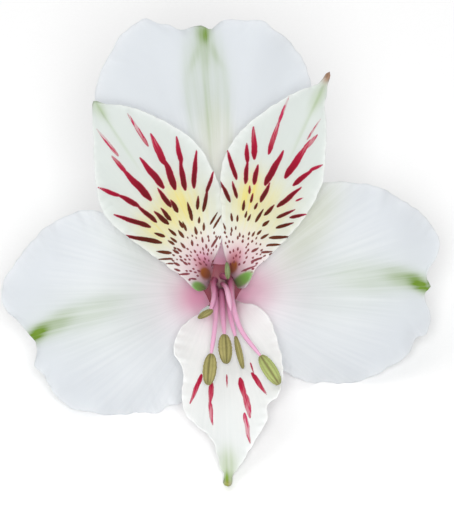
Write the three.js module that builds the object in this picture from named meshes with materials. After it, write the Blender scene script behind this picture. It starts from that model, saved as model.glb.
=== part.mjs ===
// One alstroemeria bloom on its cut flower stalk, lying on a surface.
//
// Units are millimetres and degrees, +Z is up and the surface is z = 0.
// The bloom is drawn in its own frame: U to the right and V up as one looks into its face,
// W out of the face towards the eye, with the throat at the origin. BLOOM_TILT and BLOOM_ROLL
// then lay it down, so that it leans on its two side tepals and on the stalk behind it.

import * as THREE from "three";

// ---------------------------------------------------------------- driving dimensions
const BLADE = 0.7; // thickness of a tepal
const GAP = 0.3; // clearance between two pieces that touch
const BLOOM_TILT = 35; // the face looks up by this angle
const BLOOM_ROLL = -4.5; // turn of the face about its own axis, which levels the side tepals
const THROAT_HEIGHT = 19.55; // of the throat above the surface, so that the side tepals touch it
const THROAT_BACK = -23; // of the throat along Y, so that the origin is under the middle

const OVARY_TOP = -17; // depth of the ovary's rim behind the throat
const OVARY_LENGTH = 8.2;
const OVARY_RADIUS = 3.9;
const OVARY_RIBS = 6;
const OUTER_RING = 3.4; // radius at which the outer tepals stand on the ovary
const INNER_RING = 2.4;
const STAMEN_RING = 1.3;
const FILAMENT_RADIUS = 0.45;
const STYLE_RADIUS = 0.34;
const STALK_RADIUS = 1.2;

// ---------------------------------------------------------------- small helpers
const radians = THREE.MathUtils.degToRad;
const vector = (p) => new THREE.Vector3(p[0], p[1], p[2] ?? 0);
const throughPoints = (points) =>
  new THREE.CatmullRomCurve3(points.map(vector), false, "centripetal");

// The height at x of a smooth line through [x, height] pairs, which doesn't overshoot them.
function heightOn(line, x) {
  const last = line.length - 1;
  const at = Math.min(Math.max(x, line[0][0]), line[last][0]);
  let k = 0;
  while (k < last - 1 && at > line[k + 1][0]) k += 1;
  const slope = (i) => (line[i + 1][1] - line[i][1]) / (line[i + 1][0] - line[i][0]);
  const tangent = (i) => {
    if (i === 0) return slope(0);
    if (i === last) return slope(last - 1);
    const before = slope(i - 1);
    const after = slope(i);
    return before * after <= 0 ? 0 : (2 * before * after) / (before + after);
  };
  const width = line[k + 1][0] - line[k][0];
  const f = (at - line[k][0]) / width;
  return (
    line[k][1] * (1 + 2 * f) * (1 - f) ** 2 +
    tangent(k) * width * f * (1 - f) ** 2 +
    line[k + 1][1] * f * f * (3 - 2 * f) +
    tangent(k + 1) * width * f * f * (f - 1)
  );
}

// A geometry from points and triangles, each triangle three indices.
function geometryOf(points, triangles) {
  const geometry = new THREE.BufferGeometry().setFromPoints(points);
  geometry.setIndex(triangles);
  geometry.computeVertexNormals();
  return geometry;
}

// ---------------------------------------------------------------- tepals
// Each tepal is drawn along its midrib: `along` runs from its foot on the ovary to its tip and
// `across` to the left of that. `right` and `left` are the two halves of its margin, each from
// the foot to the tip, as [along, across]. `midrib` is [along, depth], `curl` the rise of the
// blade 10 mm off the midrib on the right and left side, and `ruffle` the waves of the margin.
const TEPALS = {
  outer_tepal_top: {
    ring: OUTER_RING,
    ringAngle: 90,
    heading: 94.4,
    right: [
      [-0.1, -1.7], [3.5, -2.6], [8.8, -7.2], [15.7, -13], [22.7, -16.1], [27.9, -16.4],
      [30.8, -15.9], [34.4, -13.9], [35.9, -12.6], [36.9, -11.3], [38.4, -9.6], [38.7, -7.7],
      [38.9, -5.7], [39, -3.2], [38.3, -1.9], [37.7, -1.1], [38.2, 0.5],
    ],
    left: [
      [0.1, 1.7], [3.7, 2.6], [8.2, 6.8], [12.7, 12.6], [19.6, 17.4], [27.5, 18.4], [30, 18],
      [33.3, 16.6], [35.7, 14.9], [37.5, 13.9], [38.8, 12.3], [39.8, 10.5], [40.3, 9.2],
      [39.5, 7.4], [38.8, 5.5], [38, 3.7], [38.3, 2.2], [38.2, 0.5],
    ],
    midrib: [
      [0, -16.55], [1.4, -13.4], [3.4, -10.2], [7, -7], [13, -4.4], [22, -2.8], [32, -3], [41, -4.6],
    ],
    curl: [-0.5, -0.5],
    ruffle: { waves: 5, height: 0.7, phase: 0.6 },
  },
  outer_tepal_left: {
    ring: OUTER_RING,
    ringAngle: 210,
    heading: 193.1,
    right: [
      [0.5, -1.6], [1.5, -2.7], [6.8, -8.9], [10.9, -14], [13.6, -16.9], [15.5, -17.6],
      [19.5, -17.2], [22.4, -16.3], [25, -14.7], [27.3, -12.9], [29.5, -10.9], [30.9, -9.5],
      [31.9, -6.7], [31.6, -4.7], [30.4, -3], [29.4, -1.2], [28.3, 0.3],
    ],
    left: [
      [-0.5, 1.6], [1.5, 2.7], [2.5, 6.5], [4.6, 11.5], [7.5, 16.1], [9.8, 16.2], [11.7, 16.9],
      [13.6, 16.4], [16.5, 16], [19.5, 15.4], [22.8, 14], [25.1, 12.9], [26.4, 11.4], [27.6, 8.7],
      [28.1, 6.8], [29.1, 5.2], [28.5, 3.3], [28, 1.3], [28.3, 0.3],
    ],
    midrib: [
      [0, -16.55], [1.4, -13.4], [3.4, -10], [6.5, -6.8], [12, -3.8], [18, -2.4], [25, -2.4],
      [32, -3.8],
    ],
    curl: [-0.5, -1.2],
    ruffle: { waves: 5, height: 0.7, phase: 2.1 },
  },
  outer_tepal_right: {
    ring: OUTER_RING,
    ringAngle: 330,
    heading: 2.1,
    right: [
      [-0.9, -1.4], [1.6, -2.5], [2.8, -8.3], [5, -11.7], [7.9, -13.3], [9.6, -14.3], [11.6, -14.7],
      [13.6, -14.6], [15.6, -15], [18.6, -14.7], [20.5, -14.1], [23.2, -12.8], [24.9, -11.9],
      [26.6, -10.8], [27.6, -9.1], [28.2, -8], [29.7, -7.5], [30.6, -4.7], [29.8, -2.1],
      [29.7, -0.8], [30.5, 0.2],
    ],
    left: [
      [0.9, 1.4], [1.5, 2.4], [3.6, 5.1], [6.8, 11], [10.2, 15.7], [14, 17.5], [19, 17.3],
      [22, 16.8], [24.7, 15.6], [27.1, 13.9], [29.6, 12.2], [31.1, 10.2], [32.4, 7.9], [32, 5.1],
      [30.8, 3.4], [30.1, 1.6], [30.5, 0.2],
    ],
    midrib: [
      [0, -16.55], [1.4, -13.4], [3.4, -10], [6.5, -6.8], [12, -3.8], [18, -2.6], [25, -2.8],
      [32, -4.4],
    ],
    curl: [-2.58, -0.5],
    ruffle: { waves: 5, height: 0.7, phase: 4.2 },
  },
  inner_tepal_left: {
    ring: INNER_RING,
    ringAngle: 150,
    heading: 123.2,
    right: [
      [0.9, -1.1], [1.7, -1.8], [4.1, -4.4], [7.4, -6.7], [13.8, -9.8], [19.2, -10], [25.1, -7.5],
      [30, -4.1], [32.3, -1.3], [33.5, 0.1],
    ],
    left: [
      [-1.3, 1.35], [-1, 2.6], [-0.1, 3.1], [1.6, 3.4], [5.3, 4.7], [10.9, 6.8], [15.4, 8.3],
      [18.4, 8.5], [22, 7.2], [25.6, 5.3], [29, 3.2], [31.9, 1.5], [33.5, 0.1],
    ],
    midrib: [
      [0, -16.65], [0.5, -12.4], [1.3, -8], [2.8, -4], [5.4, -0.8], [10, 2], [16, 4.4], [24, 6.2],
      [33, 7],
    ],
    curl: [0.4, 0.7],
    ruffle: { waves: 3, height: 0.35, phase: 1.0 },
  },
  inner_tepal_right: {
    ring: INNER_RING,
    ringAngle: 30,
    heading: 65.2,
    right: [
      [-1.4, -1.3], [-0.8, -2.2], [0.4, -2.4], [2.2, -2.4], [6.6, -4.1], [12.3, -5.9], [16.5, -6.5],
      [20.1, -6.3], [24.8, -4.6], [28.5, -3], [30.4, -1.8], [33.9, -0.7], [36, 0],
    ],
    left: [
      [0.7, 1.3], [1.6, 2.1], [4.2, 4.1], [8.1, 6], [11.7, 7.9], [16.3, 9.5], [21.4, 9],
      [26.3, 6.7], [31.3, 3.3], [33.7, 0.9], [36, 0],
    ],
    midrib: [
      [0, -16.65], [0.5, -12.4], [1.3, -8], [2.8, -4], [5.4, -0.7], [10, 2.2], [16, 4.8], [24, 7.1],
      [35.4, 8.6],
    ],
    curl: [0.7, 0.4],
    ruffle: { waves: 3, height: 0.35, phase: 3.4 },
  },
  inner_tepal_lower: {
    ring: INNER_RING,
    ringAngle: 270,
    heading: 271.8,
    right: [
      [0, -1.5], [1.6, -2], [2.7, -4.4], [4.5, -6.7], [8.1, -8], [11.2, -6.6], [15.6, -6.9],
      [18.2, -6.4], [20.2, -4.6], [22.3, -2.4], [25.1, -1.5], [27.4, -1.1], [28.4, -0.5],
      [30.2, -0.4], [30.4, 0],
    ],
    left: [
      [0, 1.5], [0.8, 3.1], [1.4, 5.6], [3.6, 7.6], [6.8, 8.6], [9.3, 9.2], [12.1, 9.4], [14, 9.1],
      [15.9, 8.4], [17.3, 6.7], [19.4, 6.7], [20.7, 6], [23.3, 4.3], [26.8, 2.2], [28.6, 0.8],
      [30.2, 0.4], [30.4, 0],
    ],
    midrib: [
      [0, -16.65], [0.6, -12.6], [1.6, -8.4], [3.4, -4.6], [6, -1.4], [9, 0.8], [13, 3.6], [18, 6.8],
      [24, 10.4], [30.2, 14],
    ],
    curl: [3.2, 3.2],
    ruffle: { waves: 3, height: 0.3, phase: 0.4 },
  },
};

const RIBS = 32; // on each side of a tepal, from its midrib out to its margin
const RIB_STEPS = 7;
const FAN = 0.93; // share of its length at which the last ribs fan out to the tip
const MIDRIB_CROWDING = 1.15; // the ribs crowd towards the foot, where the claw is steep
const MARGIN_CROWDING = 1.35;
const RUFFLE_DEPTH = 3; // how fast the margin's waves die away inwards
const CLAW_LENGTH = 2; // no wave starts nearer the foot than this
const EASING = 3; // rounds of smoothing of the way that a blade is thickened

// The depth of a tepal's middle surface, which grows shallower with the distance from its foot,
// the line from the first point of `right` to that of `left`.
function depthAt(shape, along, across) {
  const foot = new THREE.Line3(vector(shape.right[0]), vector(shape.left[0]));
  const place = new THREE.Vector3(along, across, 0);
  const reach = foot.closestPointToPoint(place, true, new THREE.Vector3()).distanceTo(place);
  return heightOn(shape.midrib, reach) + shape.curl[across < 0 ? 0 : 1] * (across / 10) ** 2;
}

// The rib `k` of one side as points in the bloom's frame, from the midrib to the margin.
function ribPoints(shape, side, k) {
  const ringAngle = radians(shape.ringAngle);
  const heading = radians(shape.heading);
  const margin = throughPoints(shape[side]);
  const length = margin.getPointAt(1).x;
  const start = new THREE.Vector3(FAN * length * (k / RIBS) ** MIDRIB_CROWDING, 0, 0);
  const share = (k / RIBS) ** MARGIN_CROWDING;
  const end = margin.getPointAt(share);
  const { waves, height, phase } = shape.ruffle;
  const rise = height * THREE.MathUtils.smoothstep(end.length(), CLAW_LENGTH, 4 * CLAW_LENGTH);
  const wave = rise * Math.sin(Math.PI * waves * (side === "right" ? share : 2 - share) + phase);
  const points = [];
  for (let step = 0; step <= RIB_STEPS; step += 1) {
    const out = step / RIB_STEPS;
    const { x, y } = start.clone().lerp(end, out);
    points.push(
      new THREE.Vector3(
        shape.ring * Math.cos(ringAngle) + x * Math.cos(heading) - y * Math.sin(heading),
        shape.ring * Math.sin(ringAngle) + x * Math.sin(heading) + y * Math.cos(heading),
        depthAt(shape, x, y) + wave * out ** RUFFLE_DEPTH,
      ),
    );
  }
  return points;
}

// A tepal as one closed blade: a sheet of ribs, thickened to both sides of its middle surface
// and so split into triangles alike on its two faces.
function tepalGeometry(shape) {
  const points = [];
  const ribs = []; // the indices of each rib's points, from the right foot round to the left
  const addRib = (side, k, shared) => {
    const added = ribPoints(shape, side, k).slice(shared.length);
    ribs.push([...shared, ...added.map((_, i) => points.length + i)]);
    points.push(...added);
  };
  for (let k = 0; k <= RIBS; k += 1) addRib("right", k, []);
  for (let k = RIBS - 1; k >= 0; k -= 1) addRib("left", k, [ribs[k][0]]);
  const sheet = [];
  for (let j = 0; j < ribs.length - 1; j += 1) {
    for (let step = 0; step < RIB_STEPS; step += 1) {
      const [a, b] = ribs[j].slice(step);
      const [d, c] = ribs[j + 1].slice(step);
      sheet.push(...(j < RIBS ? [a, b, d, b, c, d] : [a, b, c, a, c, d])); // alike on both sides
    }
  }
  return thickened(points, sheet, [
    ...ribs[0],
    ...ribs.slice(1).map((rib) => rib[RIB_STEPS]),
    ...ribs[ribs.length - 1].slice(0, RIB_STEPS).reverse(),
  ]);
}

// The unit normals of a sheet's points, eased so that its two faces don't cross in tight bends.
function easedNormals(points, sheet) {
  const { normal } = geometryOf(points, sheet).attributes;
  let normals = points.map((_, i) => new THREE.Vector3().fromBufferAttribute(normal, i));
  for (let pass = 0; pass < EASING; pass += 1) {
    const sums = points.map(() => new THREE.Vector3());
    for (let k = 0; k < sheet.length; k += 3) {
      const corners = sheet.slice(k, k + 3);
      for (const i of corners) corners.forEach((j) => sums[i].add(normals[j]));
    }
    normals = sums.map((sum) => sum.normalize());
  }
  return normals;
}

// A closed blade from a sheet's points and triangles and the loop of indices round its edge.
function thickened(sheetPoints, sheet, edge) {
  const normals = easedNormals(sheetPoints, sheet);
  const points = sheetPoints.flatMap((middle, i) =>
    [BLADE / 2, -BLADE / 2].map((half) => middle.clone().addScaledVector(normals[i], half)),
  );
  const front = (i) => 2 * i;
  const back = (i) => 2 * i + 1;
  const triangles = [];
  for (let k = 0; k < sheet.length; k += 3) {
    const [a, b, c] = sheet.slice(k, k + 3);
    triangles.push(front(a), front(b), front(c), back(a), back(c), back(b));
  }
  for (let k = 0; k < edge.length - 1; k += 1) {
    const [a, b] = [edge[k], edge[k + 1]];
    triangles.push(front(a), back(a), back(b), front(a), back(b), front(b));
  }
  return geometryOf(points, triangles);
}

// ---------------------------------------------------------------- round pieces
// A closed body along a curve. `section(t, angle)` gives its [sideways, upwards] reach at the
// share t of its length, and both ends are closed flat.
function loft(curve, steps, sides, section) {
  const frames = curve.computeFrenetFrames(steps);
  const points = [];
  for (let step = 0; step <= steps; step += 1) {
    const t = step / steps;
    const centre = curve.getPointAt(t);
    for (let side = 0; side < sides; side += 1) {
      const [x, y] = section(t, (2 * Math.PI * side) / sides);
      points.push(
        centre.clone().addScaledVector(frames.normals[step], x).addScaledVector(frames.binormals[step], y),
      );
    }
  }
  const triangles = [];
  for (let step = 0; step < steps; step += 1) {
    for (let side = 0; side < sides; side += 1) {
      const a = step * sides + side;
      const b = step * sides + ((side + 1) % sides);
      triangles.push(a, b, b + sides, a, b + sides, a + sides);
    }
  }
  const [first, last] = [points.length, points.length + 1];
  points.push(curve.getPointAt(0), curve.getPointAt(1));
  for (let side = 0; side < sides; side += 1) {
    const next = (side + 1) % sides;
    triangles.push(first, next, side);
    triangles.push(last, steps * sides + side, steps * sides + next);
  }
  return geometryOf(points, triangles);
}

const round = (radius, angle) => [radius * Math.cos(angle), radius * Math.sin(angle)];

// The ovary: a ribbed cone behind the tepals, which narrows into the stalk.
const OVARY_PROFILE = [[0, 0.94], [0.12, 1], [0.35, 0.95], [0.65, 0.7], [0.88, 0.43], [1, 0.33]];
const OVARY_STEPS = 8;
const OVARY_SIDES = 24;
const RIB_DEPTH = 0.09; // share of the radius

function ovaryGeometry() {
  const axis = new THREE.LineCurve3(
    new THREE.Vector3(0, 0, OVARY_TOP),
    new THREE.Vector3(0, 0, OVARY_TOP - OVARY_LENGTH),
  );
  return loft(axis, OVARY_STEPS, OVARY_SIDES, (t, angle) => {
    const rib = 1 + RIB_DEPTH * Math.cos(OVARY_RIBS * angle) * (1 - t);
    return round(OVARY_RADIUS * heightOn(OVARY_PROFILE, t) * rib, angle);
  });
}

// ---------------------------------------------------------------- stamens and style
// `ringAngle` is where a filament stands on the ovary, `by` the points that it bends through and
// `anther` the two ends of its anther, all as [U, V, W]. `turn` rolls the anther about its own
// length, from showing its broad side to the eye at 0 to showing its edge at 90, and `plump` is
// the share of its breadth that it has kept.
const STAMENS = [
  {
    ringAngle: 210,
    by: [[-1.15, -1.25, -9], [-1.0, -4.1, -0.4], [-1.25, -7.8, 4.6]],
    anther: [[-1.75, -11.2, 7.4], [-2.2, -16.2, 9.1]],
    turn: 25,
    plump: 1,
  },
  {
    ringAngle: 270,
    by: [[0, -1.55, -9], [0.1, -3.7, -3.4], [0.2, -5.8, 0.4]],
    anther: [[0.4, -8.1, 4.2], [0.65, -12.8, 6.2]],
    turn: -25,
    plump: 1,
  },
  {
    ringAngle: 330,
    by: [[1.08, -1.12, -9], [1.15, -3.2, -3.8], [1.45, -5.6, 0]],
    anther: [[2.15, -8.4, 3.4], [3.4, -13.6, 5.6]],
    turn: 70,
    plump: 0.68,
  },
  {
    ringAngle: 30,
    by: [[1.45, 0, -9], [1.75, -3.4, -0.4], [3.2, -7.6, 4.6]],
    anther: [[6.2, -11.5, 8.6], [9.2, -16.1, 10.4]],
    turn: 0,
    plump: 1,
  },
  {
    ringAngle: 150,
    by: [[-1.4, 0, -9], [-1.3, -2.2, -2]],
    anther: [[-1.7, -4.2, 1.6], [-3.7, -5.5, 5.2]],
    turn: 60,
    plump: 0.66,
  },
  {
    ringAngle: 90,
    by: [[0.4, 1.1, -10.5]],
    anther: [[1, 0.9, -5.4], [0.75, 3.4, -2.8]],
    turn: 80,
    plump: 0.62,
  },
];
const STAMEN_FOOT = OVARY_TOP + GAP;
const STYLE_BY = [[0, 0, STAMEN_FOOT], [0.2, -0.1, -10], [0.8, -1.0, -3], [1.45, -4.3, 3.2]];
const THREAD_SIDES = 8;
const THREAD_STEPS = 12;
const ANTHER_WIDTH = 2.4;
const ANTHER_DEPTH = 1.4;
const ANTHER_SIDES = 14;
const ANTHER_STEPS = 8;
const ANTHER_SEAT = 0.45; // clearance between a filament's tip and its anther

function filamentGeometry({ ringAngle, by, anther }) {
  const angle = radians(ringAngle);
  const foot = [STAMEN_RING * Math.cos(angle), STAMEN_RING * Math.sin(angle), STAMEN_FOOT];
  const [start, end] = anther.map(vector);
  const tip = start.clone().addScaledVector(end.sub(start).normalize(), -ANTHER_SEAT);
  return loft(throughPoints([foot, ...by, tip.toArray()]), THREAD_STEPS, THREAD_SIDES, (t, side) =>
    round(FILAMENT_RADIUS * (1 - 0.3 * t * t), side),
  );
}

// Two lobes side by side, rounded at both ends, with a groove down each broad side.
function antherGeometry({ anther, turn, plump }) {
  const [start, end] = anther.map(vector);
  const length = end.distanceTo(start);
  const axis = new THREE.LineCurve3(new THREE.Vector3(), new THREE.Vector3(0, 0, length));
  const geometry = loft(axis, ANTHER_STEPS, ANTHER_SIDES, (t, angle) => {
    const fullness = 0.3 + 0.7 * Math.sin(Math.PI * (0.05 + 0.9 * t)) ** 0.55;
    const groove = 1 - 0.22 * Math.exp(-((Math.cos(angle) / 0.3) ** 2));
    return [
      (fullness * plump * ANTHER_WIDTH * Math.cos(angle)) / 2,
      (fullness * plump * ANTHER_DEPTH * Math.sin(angle) * groove) / 2,
    ];
  });
  const along = end.clone().sub(start).normalize();
  const sideways = new THREE.Vector3(0, 0, 1).cross(along).normalize();
  const outward = along.clone().cross(sideways);
  return geometry
    .rotateZ(radians(turn))
    .applyMatrix4(new THREE.Matrix4().makeBasis(sideways, outward, along).setPosition(start));
}

function styleGeometry() {
  return loft(throughPoints(STYLE_BY), THREAD_STEPS, THREAD_SIDES, (t, side) =>
    round(STYLE_RADIUS * (1 + 0.25 * t), side),
  );
}

// ---------------------------------------------------------------- stalk
// It leaves the ovary in line with the bloom's axis and bends down to lie on the surface.
const STALK_END = [1.5, 52.6, STALK_RADIUS];
const STALK_STEPS = 22;
const STALK_SIDES = 12;

function stalkGeometry(start, direction) {
  const bend = start.clone().addScaledVector(direction, 3);
  const curve = throughPoints([
    start.toArray(),
    bend.toArray(),
    [start.x - 0.7, start.y + 9, STALK_RADIUS + 0.9],
    [start.x - 1.3, start.y + 20, STALK_RADIUS + 0.25],
    [start.x - 0.4, start.y + 34, STALK_RADIUS + 0.3],
    STALK_END,
  ]);
  return loft(curve, STALK_STEPS, STALK_SIDES, (t, side) => round(STALK_RADIUS * (0.92 + 0.08 * t), side));
}

// ---------------------------------------------------------------- assembly
const WHITE = new THREE.MeshStandardMaterial({ color: 0xeef0f2, roughness: 0.6, metalness: 0 });
const GREEN = new THREE.MeshStandardMaterial({ color: 0x6f9a4a, roughness: 0.5, metalness: 0 });
const PINK = new THREE.MeshStandardMaterial({ color: 0xd79ab8, roughness: 0.5, metalness: 0 });
const OLIVE = new THREE.MeshStandardMaterial({ color: 0x9a9a50, roughness: 0.8, metalness: 0 });

function named(name, geometry, material) {
  const mesh = new THREE.Mesh(geometry, material);
  mesh.name = name;
  return mesh;
}

const bloom = new THREE.Group();
for (const [name, shape] of Object.entries(TEPALS)) {
  bloom.add(named(name, tepalGeometry(shape), WHITE));
}
bloom.add(named("ovary", ovaryGeometry(), GREEN));
STAMENS.forEach((stamen, k) => {
  bloom.add(named(`filament_${k + 1}`, filamentGeometry(stamen), PINK));
  bloom.add(named(`anther_${k + 1}`, antherGeometry(stamen), OLIVE));
});
bloom.add(named("style", styleGeometry(), PINK));
bloom.rotation.set(radians(90 - BLOOM_TILT), 0, radians(BLOOM_ROLL), "XYZ");
bloom.position.set(0, THROAT_BACK, THROAT_HEIGHT);
bloom.updateMatrixWorld(true);

const ovaryFoot = new THREE.Vector3(0, 0, OVARY_TOP - OVARY_LENGTH - GAP).applyMatrix4(bloom.matrixWorld);
const backwards = new THREE.Vector3(0, 0, -1).transformDirection(bloom.matrixWorld);

const part = new THREE.Group();
part.add(bloom);
part.add(named("stalk", stalkGeometry(ovaryFoot, backwards), GREEN));

export default part;
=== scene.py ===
"""An open alstroemeria bloom on its cut stalk, lying on a pale surface.

The bloom is drawn in its own frame, in millimetres: U to the right and V up as one looks into
its face, W out of the face, with the throat at the origin. `Lay` says how that frame lies on
the surface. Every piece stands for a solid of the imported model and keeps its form.
"""

import logging
import math
from dataclasses import dataclass
from enum import Enum
from functools import partial
from typing import Callable, Sequence

import bpy
import numpy as np
from mathutils import Matrix, Vector


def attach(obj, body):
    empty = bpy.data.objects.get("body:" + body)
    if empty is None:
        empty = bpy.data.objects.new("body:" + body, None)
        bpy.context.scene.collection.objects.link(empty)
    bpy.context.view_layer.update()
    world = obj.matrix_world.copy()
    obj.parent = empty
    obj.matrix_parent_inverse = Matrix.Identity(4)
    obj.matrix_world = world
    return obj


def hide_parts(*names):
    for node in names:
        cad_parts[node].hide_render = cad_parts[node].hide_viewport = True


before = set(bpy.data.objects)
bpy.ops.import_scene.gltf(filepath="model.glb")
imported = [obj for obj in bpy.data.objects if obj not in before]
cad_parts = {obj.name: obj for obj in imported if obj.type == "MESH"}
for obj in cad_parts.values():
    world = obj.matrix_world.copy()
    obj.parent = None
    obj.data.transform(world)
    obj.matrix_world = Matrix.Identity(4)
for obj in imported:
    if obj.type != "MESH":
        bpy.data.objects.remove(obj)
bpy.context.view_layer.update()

log = logging.getLogger("alstroemeria")

MM = 0.001
Pair = tuple[float, float]
Triple = tuple[float, float, float]
Streak = tuple[float, float, float, float, float]
Socket = bpy.types.NodeSocket
Adder = Callable[..., Socket | None]


# ---------------------------------------------------------------- curves and noise
CURVE_STEPS = 24  # from each given point of a curve to the next
SHORTEST = 1e-4  # keeps two points that fall together from dividing by 0
TINY = 1e-12


def evenly(points: Sequence[Sequence[float]], shares: np.ndarray) -> np.ndarray:
    """Points at given shares of the length of a smooth curve through some points.

    The curve is a centripetal Catmull-Rom spline.

    Args:
        points: what the curve runs through, in two or three dimensions.
        shares: how far along the curve each result lies, from 0 to 1.

    Returns:
        One row for each share.
    """
    p = np.asarray(points, float)
    p = np.vstack([2 * p[0] - p[1], p, 2 * p[-1] - p[-2]])
    t = np.linspace(0, 1, CURVE_STEPS, endpoint=False)[:, None]
    gaps = [max(math.dist(a, b) ** 0.5, SHORTEST) for a, b in zip(p, p[1:])]
    pieces = []
    for k, (before, start, end, after) in enumerate(zip(p, p[1:], p[2:], p[3:])):
        d0, d1, d2 = gaps[k : k + 3]
        leave = d1 * ((start - before) / d0 - (end - before) / (d0 + d1)) + (end - start)
        arrive = (end - start) + d1 * ((after - end) / d2 - (after - start) / (d1 + d2))
        curve = start + leave * t + (3 * (end - start) - 2 * leave - arrive) * t**2
        pieces.append(curve + (2 * (start - end) + leave + arrive) * t**3)
    dense = np.vstack([*pieces, p[-2]])
    steps = np.linalg.norm(np.diff(dense, axis=0), axis=1)
    length = np.concatenate([[0], np.cumsum(steps)])
    return np.stack([np.interp(shares * length[-1], length, column) for column in dense.T], axis=-1)


def height_on(line: Sequence[Pair], x: np.ndarray) -> np.ndarray:
    """The height at x of a smooth line through (x, height) pairs, which doesn't overshoot them.

    Args:
        line: the pairs, with x rising.
        x: where to read the line, held within its ends.

    Returns:
        The heights, in the shape of x.
    """
    xs, ys = np.asarray(line, float).T
    slopes = np.diff(ys) / np.diff(xs)
    product = slopes[:-1] * slopes[1:]
    total = slopes[:-1] + slopes[1:]
    inner = np.where(product > 0, 2 * product / np.where(product > 0, total, 1), 0)
    tangents = np.concatenate([[slopes[0]], inner, [slopes[-1]]])
    at = np.clip(x, xs[0], xs[-1])
    k = np.clip(np.searchsorted(xs, at) - 1, 0, len(slopes) - 1)
    width = xs[k + 1] - xs[k]
    f = (at - xs[k]) / width
    return (
        ys[k] * (1 + 2 * f) * (1 - f) ** 2
        + tangents[k] * width * f * (1 - f) ** 2
        + ys[k + 1] * f * f * (3 - 2 * f)
        + tangents[k + 1] * width * f * f * (f - 1)
    )


def ripple(x: np.ndarray, lowest: float, highest: float, seed: int) -> np.ndarray:
    """A smooth random wave of height about 1.

    Args:
        x: where to read it.
        lowest: the fewest waves per unit of x.
        highest: the most waves per unit of x.
        seed: picks the wave.

    Returns:
        The wave's height at each x.
    """
    draw = np.random.RandomState(seed)
    terms = 7
    rates = draw.uniform(lowest, highest, terms)
    phases = draw.uniform(0, 2 * math.pi, terms)
    return sum(np.sin(2 * math.pi * r * x + a) for r, a in zip(rates, phases)) / math.sqrt(terms)


def unit(vectors: np.ndarray) -> np.ndarray:
    """Some vectors, one in each row, brought to length 1."""
    return vectors / (np.linalg.norm(vectors, axis=1)[:, None] + TINY)


def bell(x: np.ndarray, width: float) -> np.ndarray:
    """A smooth bump, 1 where x is 0, that dies away over `width`."""
    return np.exp(-((x / width) ** 2))


# ---------------------------------------------------------------- place
@dataclass(frozen=True)
class Lay:
    """How the bloom lies: its face looks up by `tilt`, turned by `roll`, throat at `throat`."""

    tilt: float = 35.0
    roll: float = -4.5
    throat: Triple = (0.0, -23.0, 19.55)

    def turn(self) -> Matrix:
        """The rotation from the bloom's frame to the part's."""
        lean = Matrix.Rotation(math.radians(90 - self.tilt), 3, "X")
        return lean @ Matrix.Rotation(math.radians(self.roll), 3, "Z")

    def place(self, points: np.ndarray) -> np.ndarray:
        """Turns millimetres in the bloom's frame into metres in the part's.

        Args:
            points: rows of U, V, W.

        Returns:
            Rows of X, Y, Z.
        """
        return (points @ np.array(self.turn()).T + np.array(self.throat)) * MM


LAY = Lay()


# ---------------------------------------------------------------- meshes
def put(name: str, data: bpy.types.ID) -> bpy.types.Object:
    """Makes an object of some data and links it to the scene, at the origin."""
    made = bpy.data.objects.new(name, data)
    bpy.context.scene.collection.objects.link(made)
    return made


@dataclass
class Skin:
    """A mesh in the making: points in metres, faces, and what its material reads."""

    points: np.ndarray
    faces: list[tuple[int, ...]]
    marks: dict[str, np.ndarray]
    uv: np.ndarray | None = None

    def build(self, name: str, material: bpy.types.Material) -> bpy.types.Object:
        """Makes the object, smooth-shaded, at the origin.

        Args:
            name: the object's name.
            material: what it is made of.

        Returns:
            The object, linked to the scene.
        """
        mesh = bpy.data.meshes.new(name)
        mesh.from_pydata(self.points.tolist(), [], self.faces)
        for mark, values in self.marks.items():
            layer = mesh.attributes.new(mark, "FLOAT", "POINT")
            layer.data.foreach_set("value", values.astype(np.float32))
        if self.uv is not None:
            corners = np.empty(len(mesh.loops), np.int32)
            mesh.loops.foreach_get("vertex_index", corners)
            layer = mesh.uv_layers.new(name="blade")
            layer.data.foreach_set("uv", self.uv[corners].astype(np.float32).ravel())
        mesh.materials.append(material)
        mesh.polygons.foreach_set("use_smooth", [True] * len(mesh.polygons))
        mesh.validate()
        mesh.update()
        return put(name, mesh)


def point_normals(points: np.ndarray, quads: np.ndarray) -> np.ndarray:
    """The unit normals of a sheet at its points.

    Args:
        points: the sheet's points.
        quads: its faces, each the indices of four points.

    Returns:
        One row for each point.
    """
    a, b, c, d = points[quads].swapaxes(0, 1)
    across = np.cross(c - a, d - b)
    normals = np.zeros_like(points)
    for corner in quads.T:
        np.add.at(normals, corner, across)
    return unit(normals)


def tube_faces(steps: int, sides: int, flipped: bool) -> list[tuple[int, ...]]:
    """The faces of a closed tube, whose points are rings from one end to the other.

    Args:
        steps: how many rings.
        sides: how many points in each.
        flipped: whether the rings run the other way round, seen along the tube.

    Returns:
        The faces, as indices of points, with the two ends last.
    """
    rings = np.arange(steps * sides).reshape(steps, sides)
    ahead = np.roll(rings, -1, axis=1)
    quads = np.stack([rings[:-1], ahead[:-1], ahead[1:], rings[1:]], axis=-1).reshape(-1, 4)
    if flipped:
        return quads[:, [0, 3, 2, 1]].tolist() + [tuple(rings[0]), tuple(rings[-1][::-1])]
    return quads.tolist() + [tuple(rings[0][::-1]), tuple(rings[-1])]


def settle(piece: bpy.types.Object, node: str) -> bpy.types.Object:
    """Gives a finished piece to the part's one body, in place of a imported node.

    Args:
        piece: the finished object.
        node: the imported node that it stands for.

    Returns:
        The same piece.
    """
    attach(piece, "root")
    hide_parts(node)
    log.info("%s: %d faces", piece.name, len(piece.data.polygons))
    return piece


# ---------------------------------------------------------------- nodes
MIX_A = 6  # the two colours of a Mix node, and its result
MIX_B = 7
MIX_RESULT = 2


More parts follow.
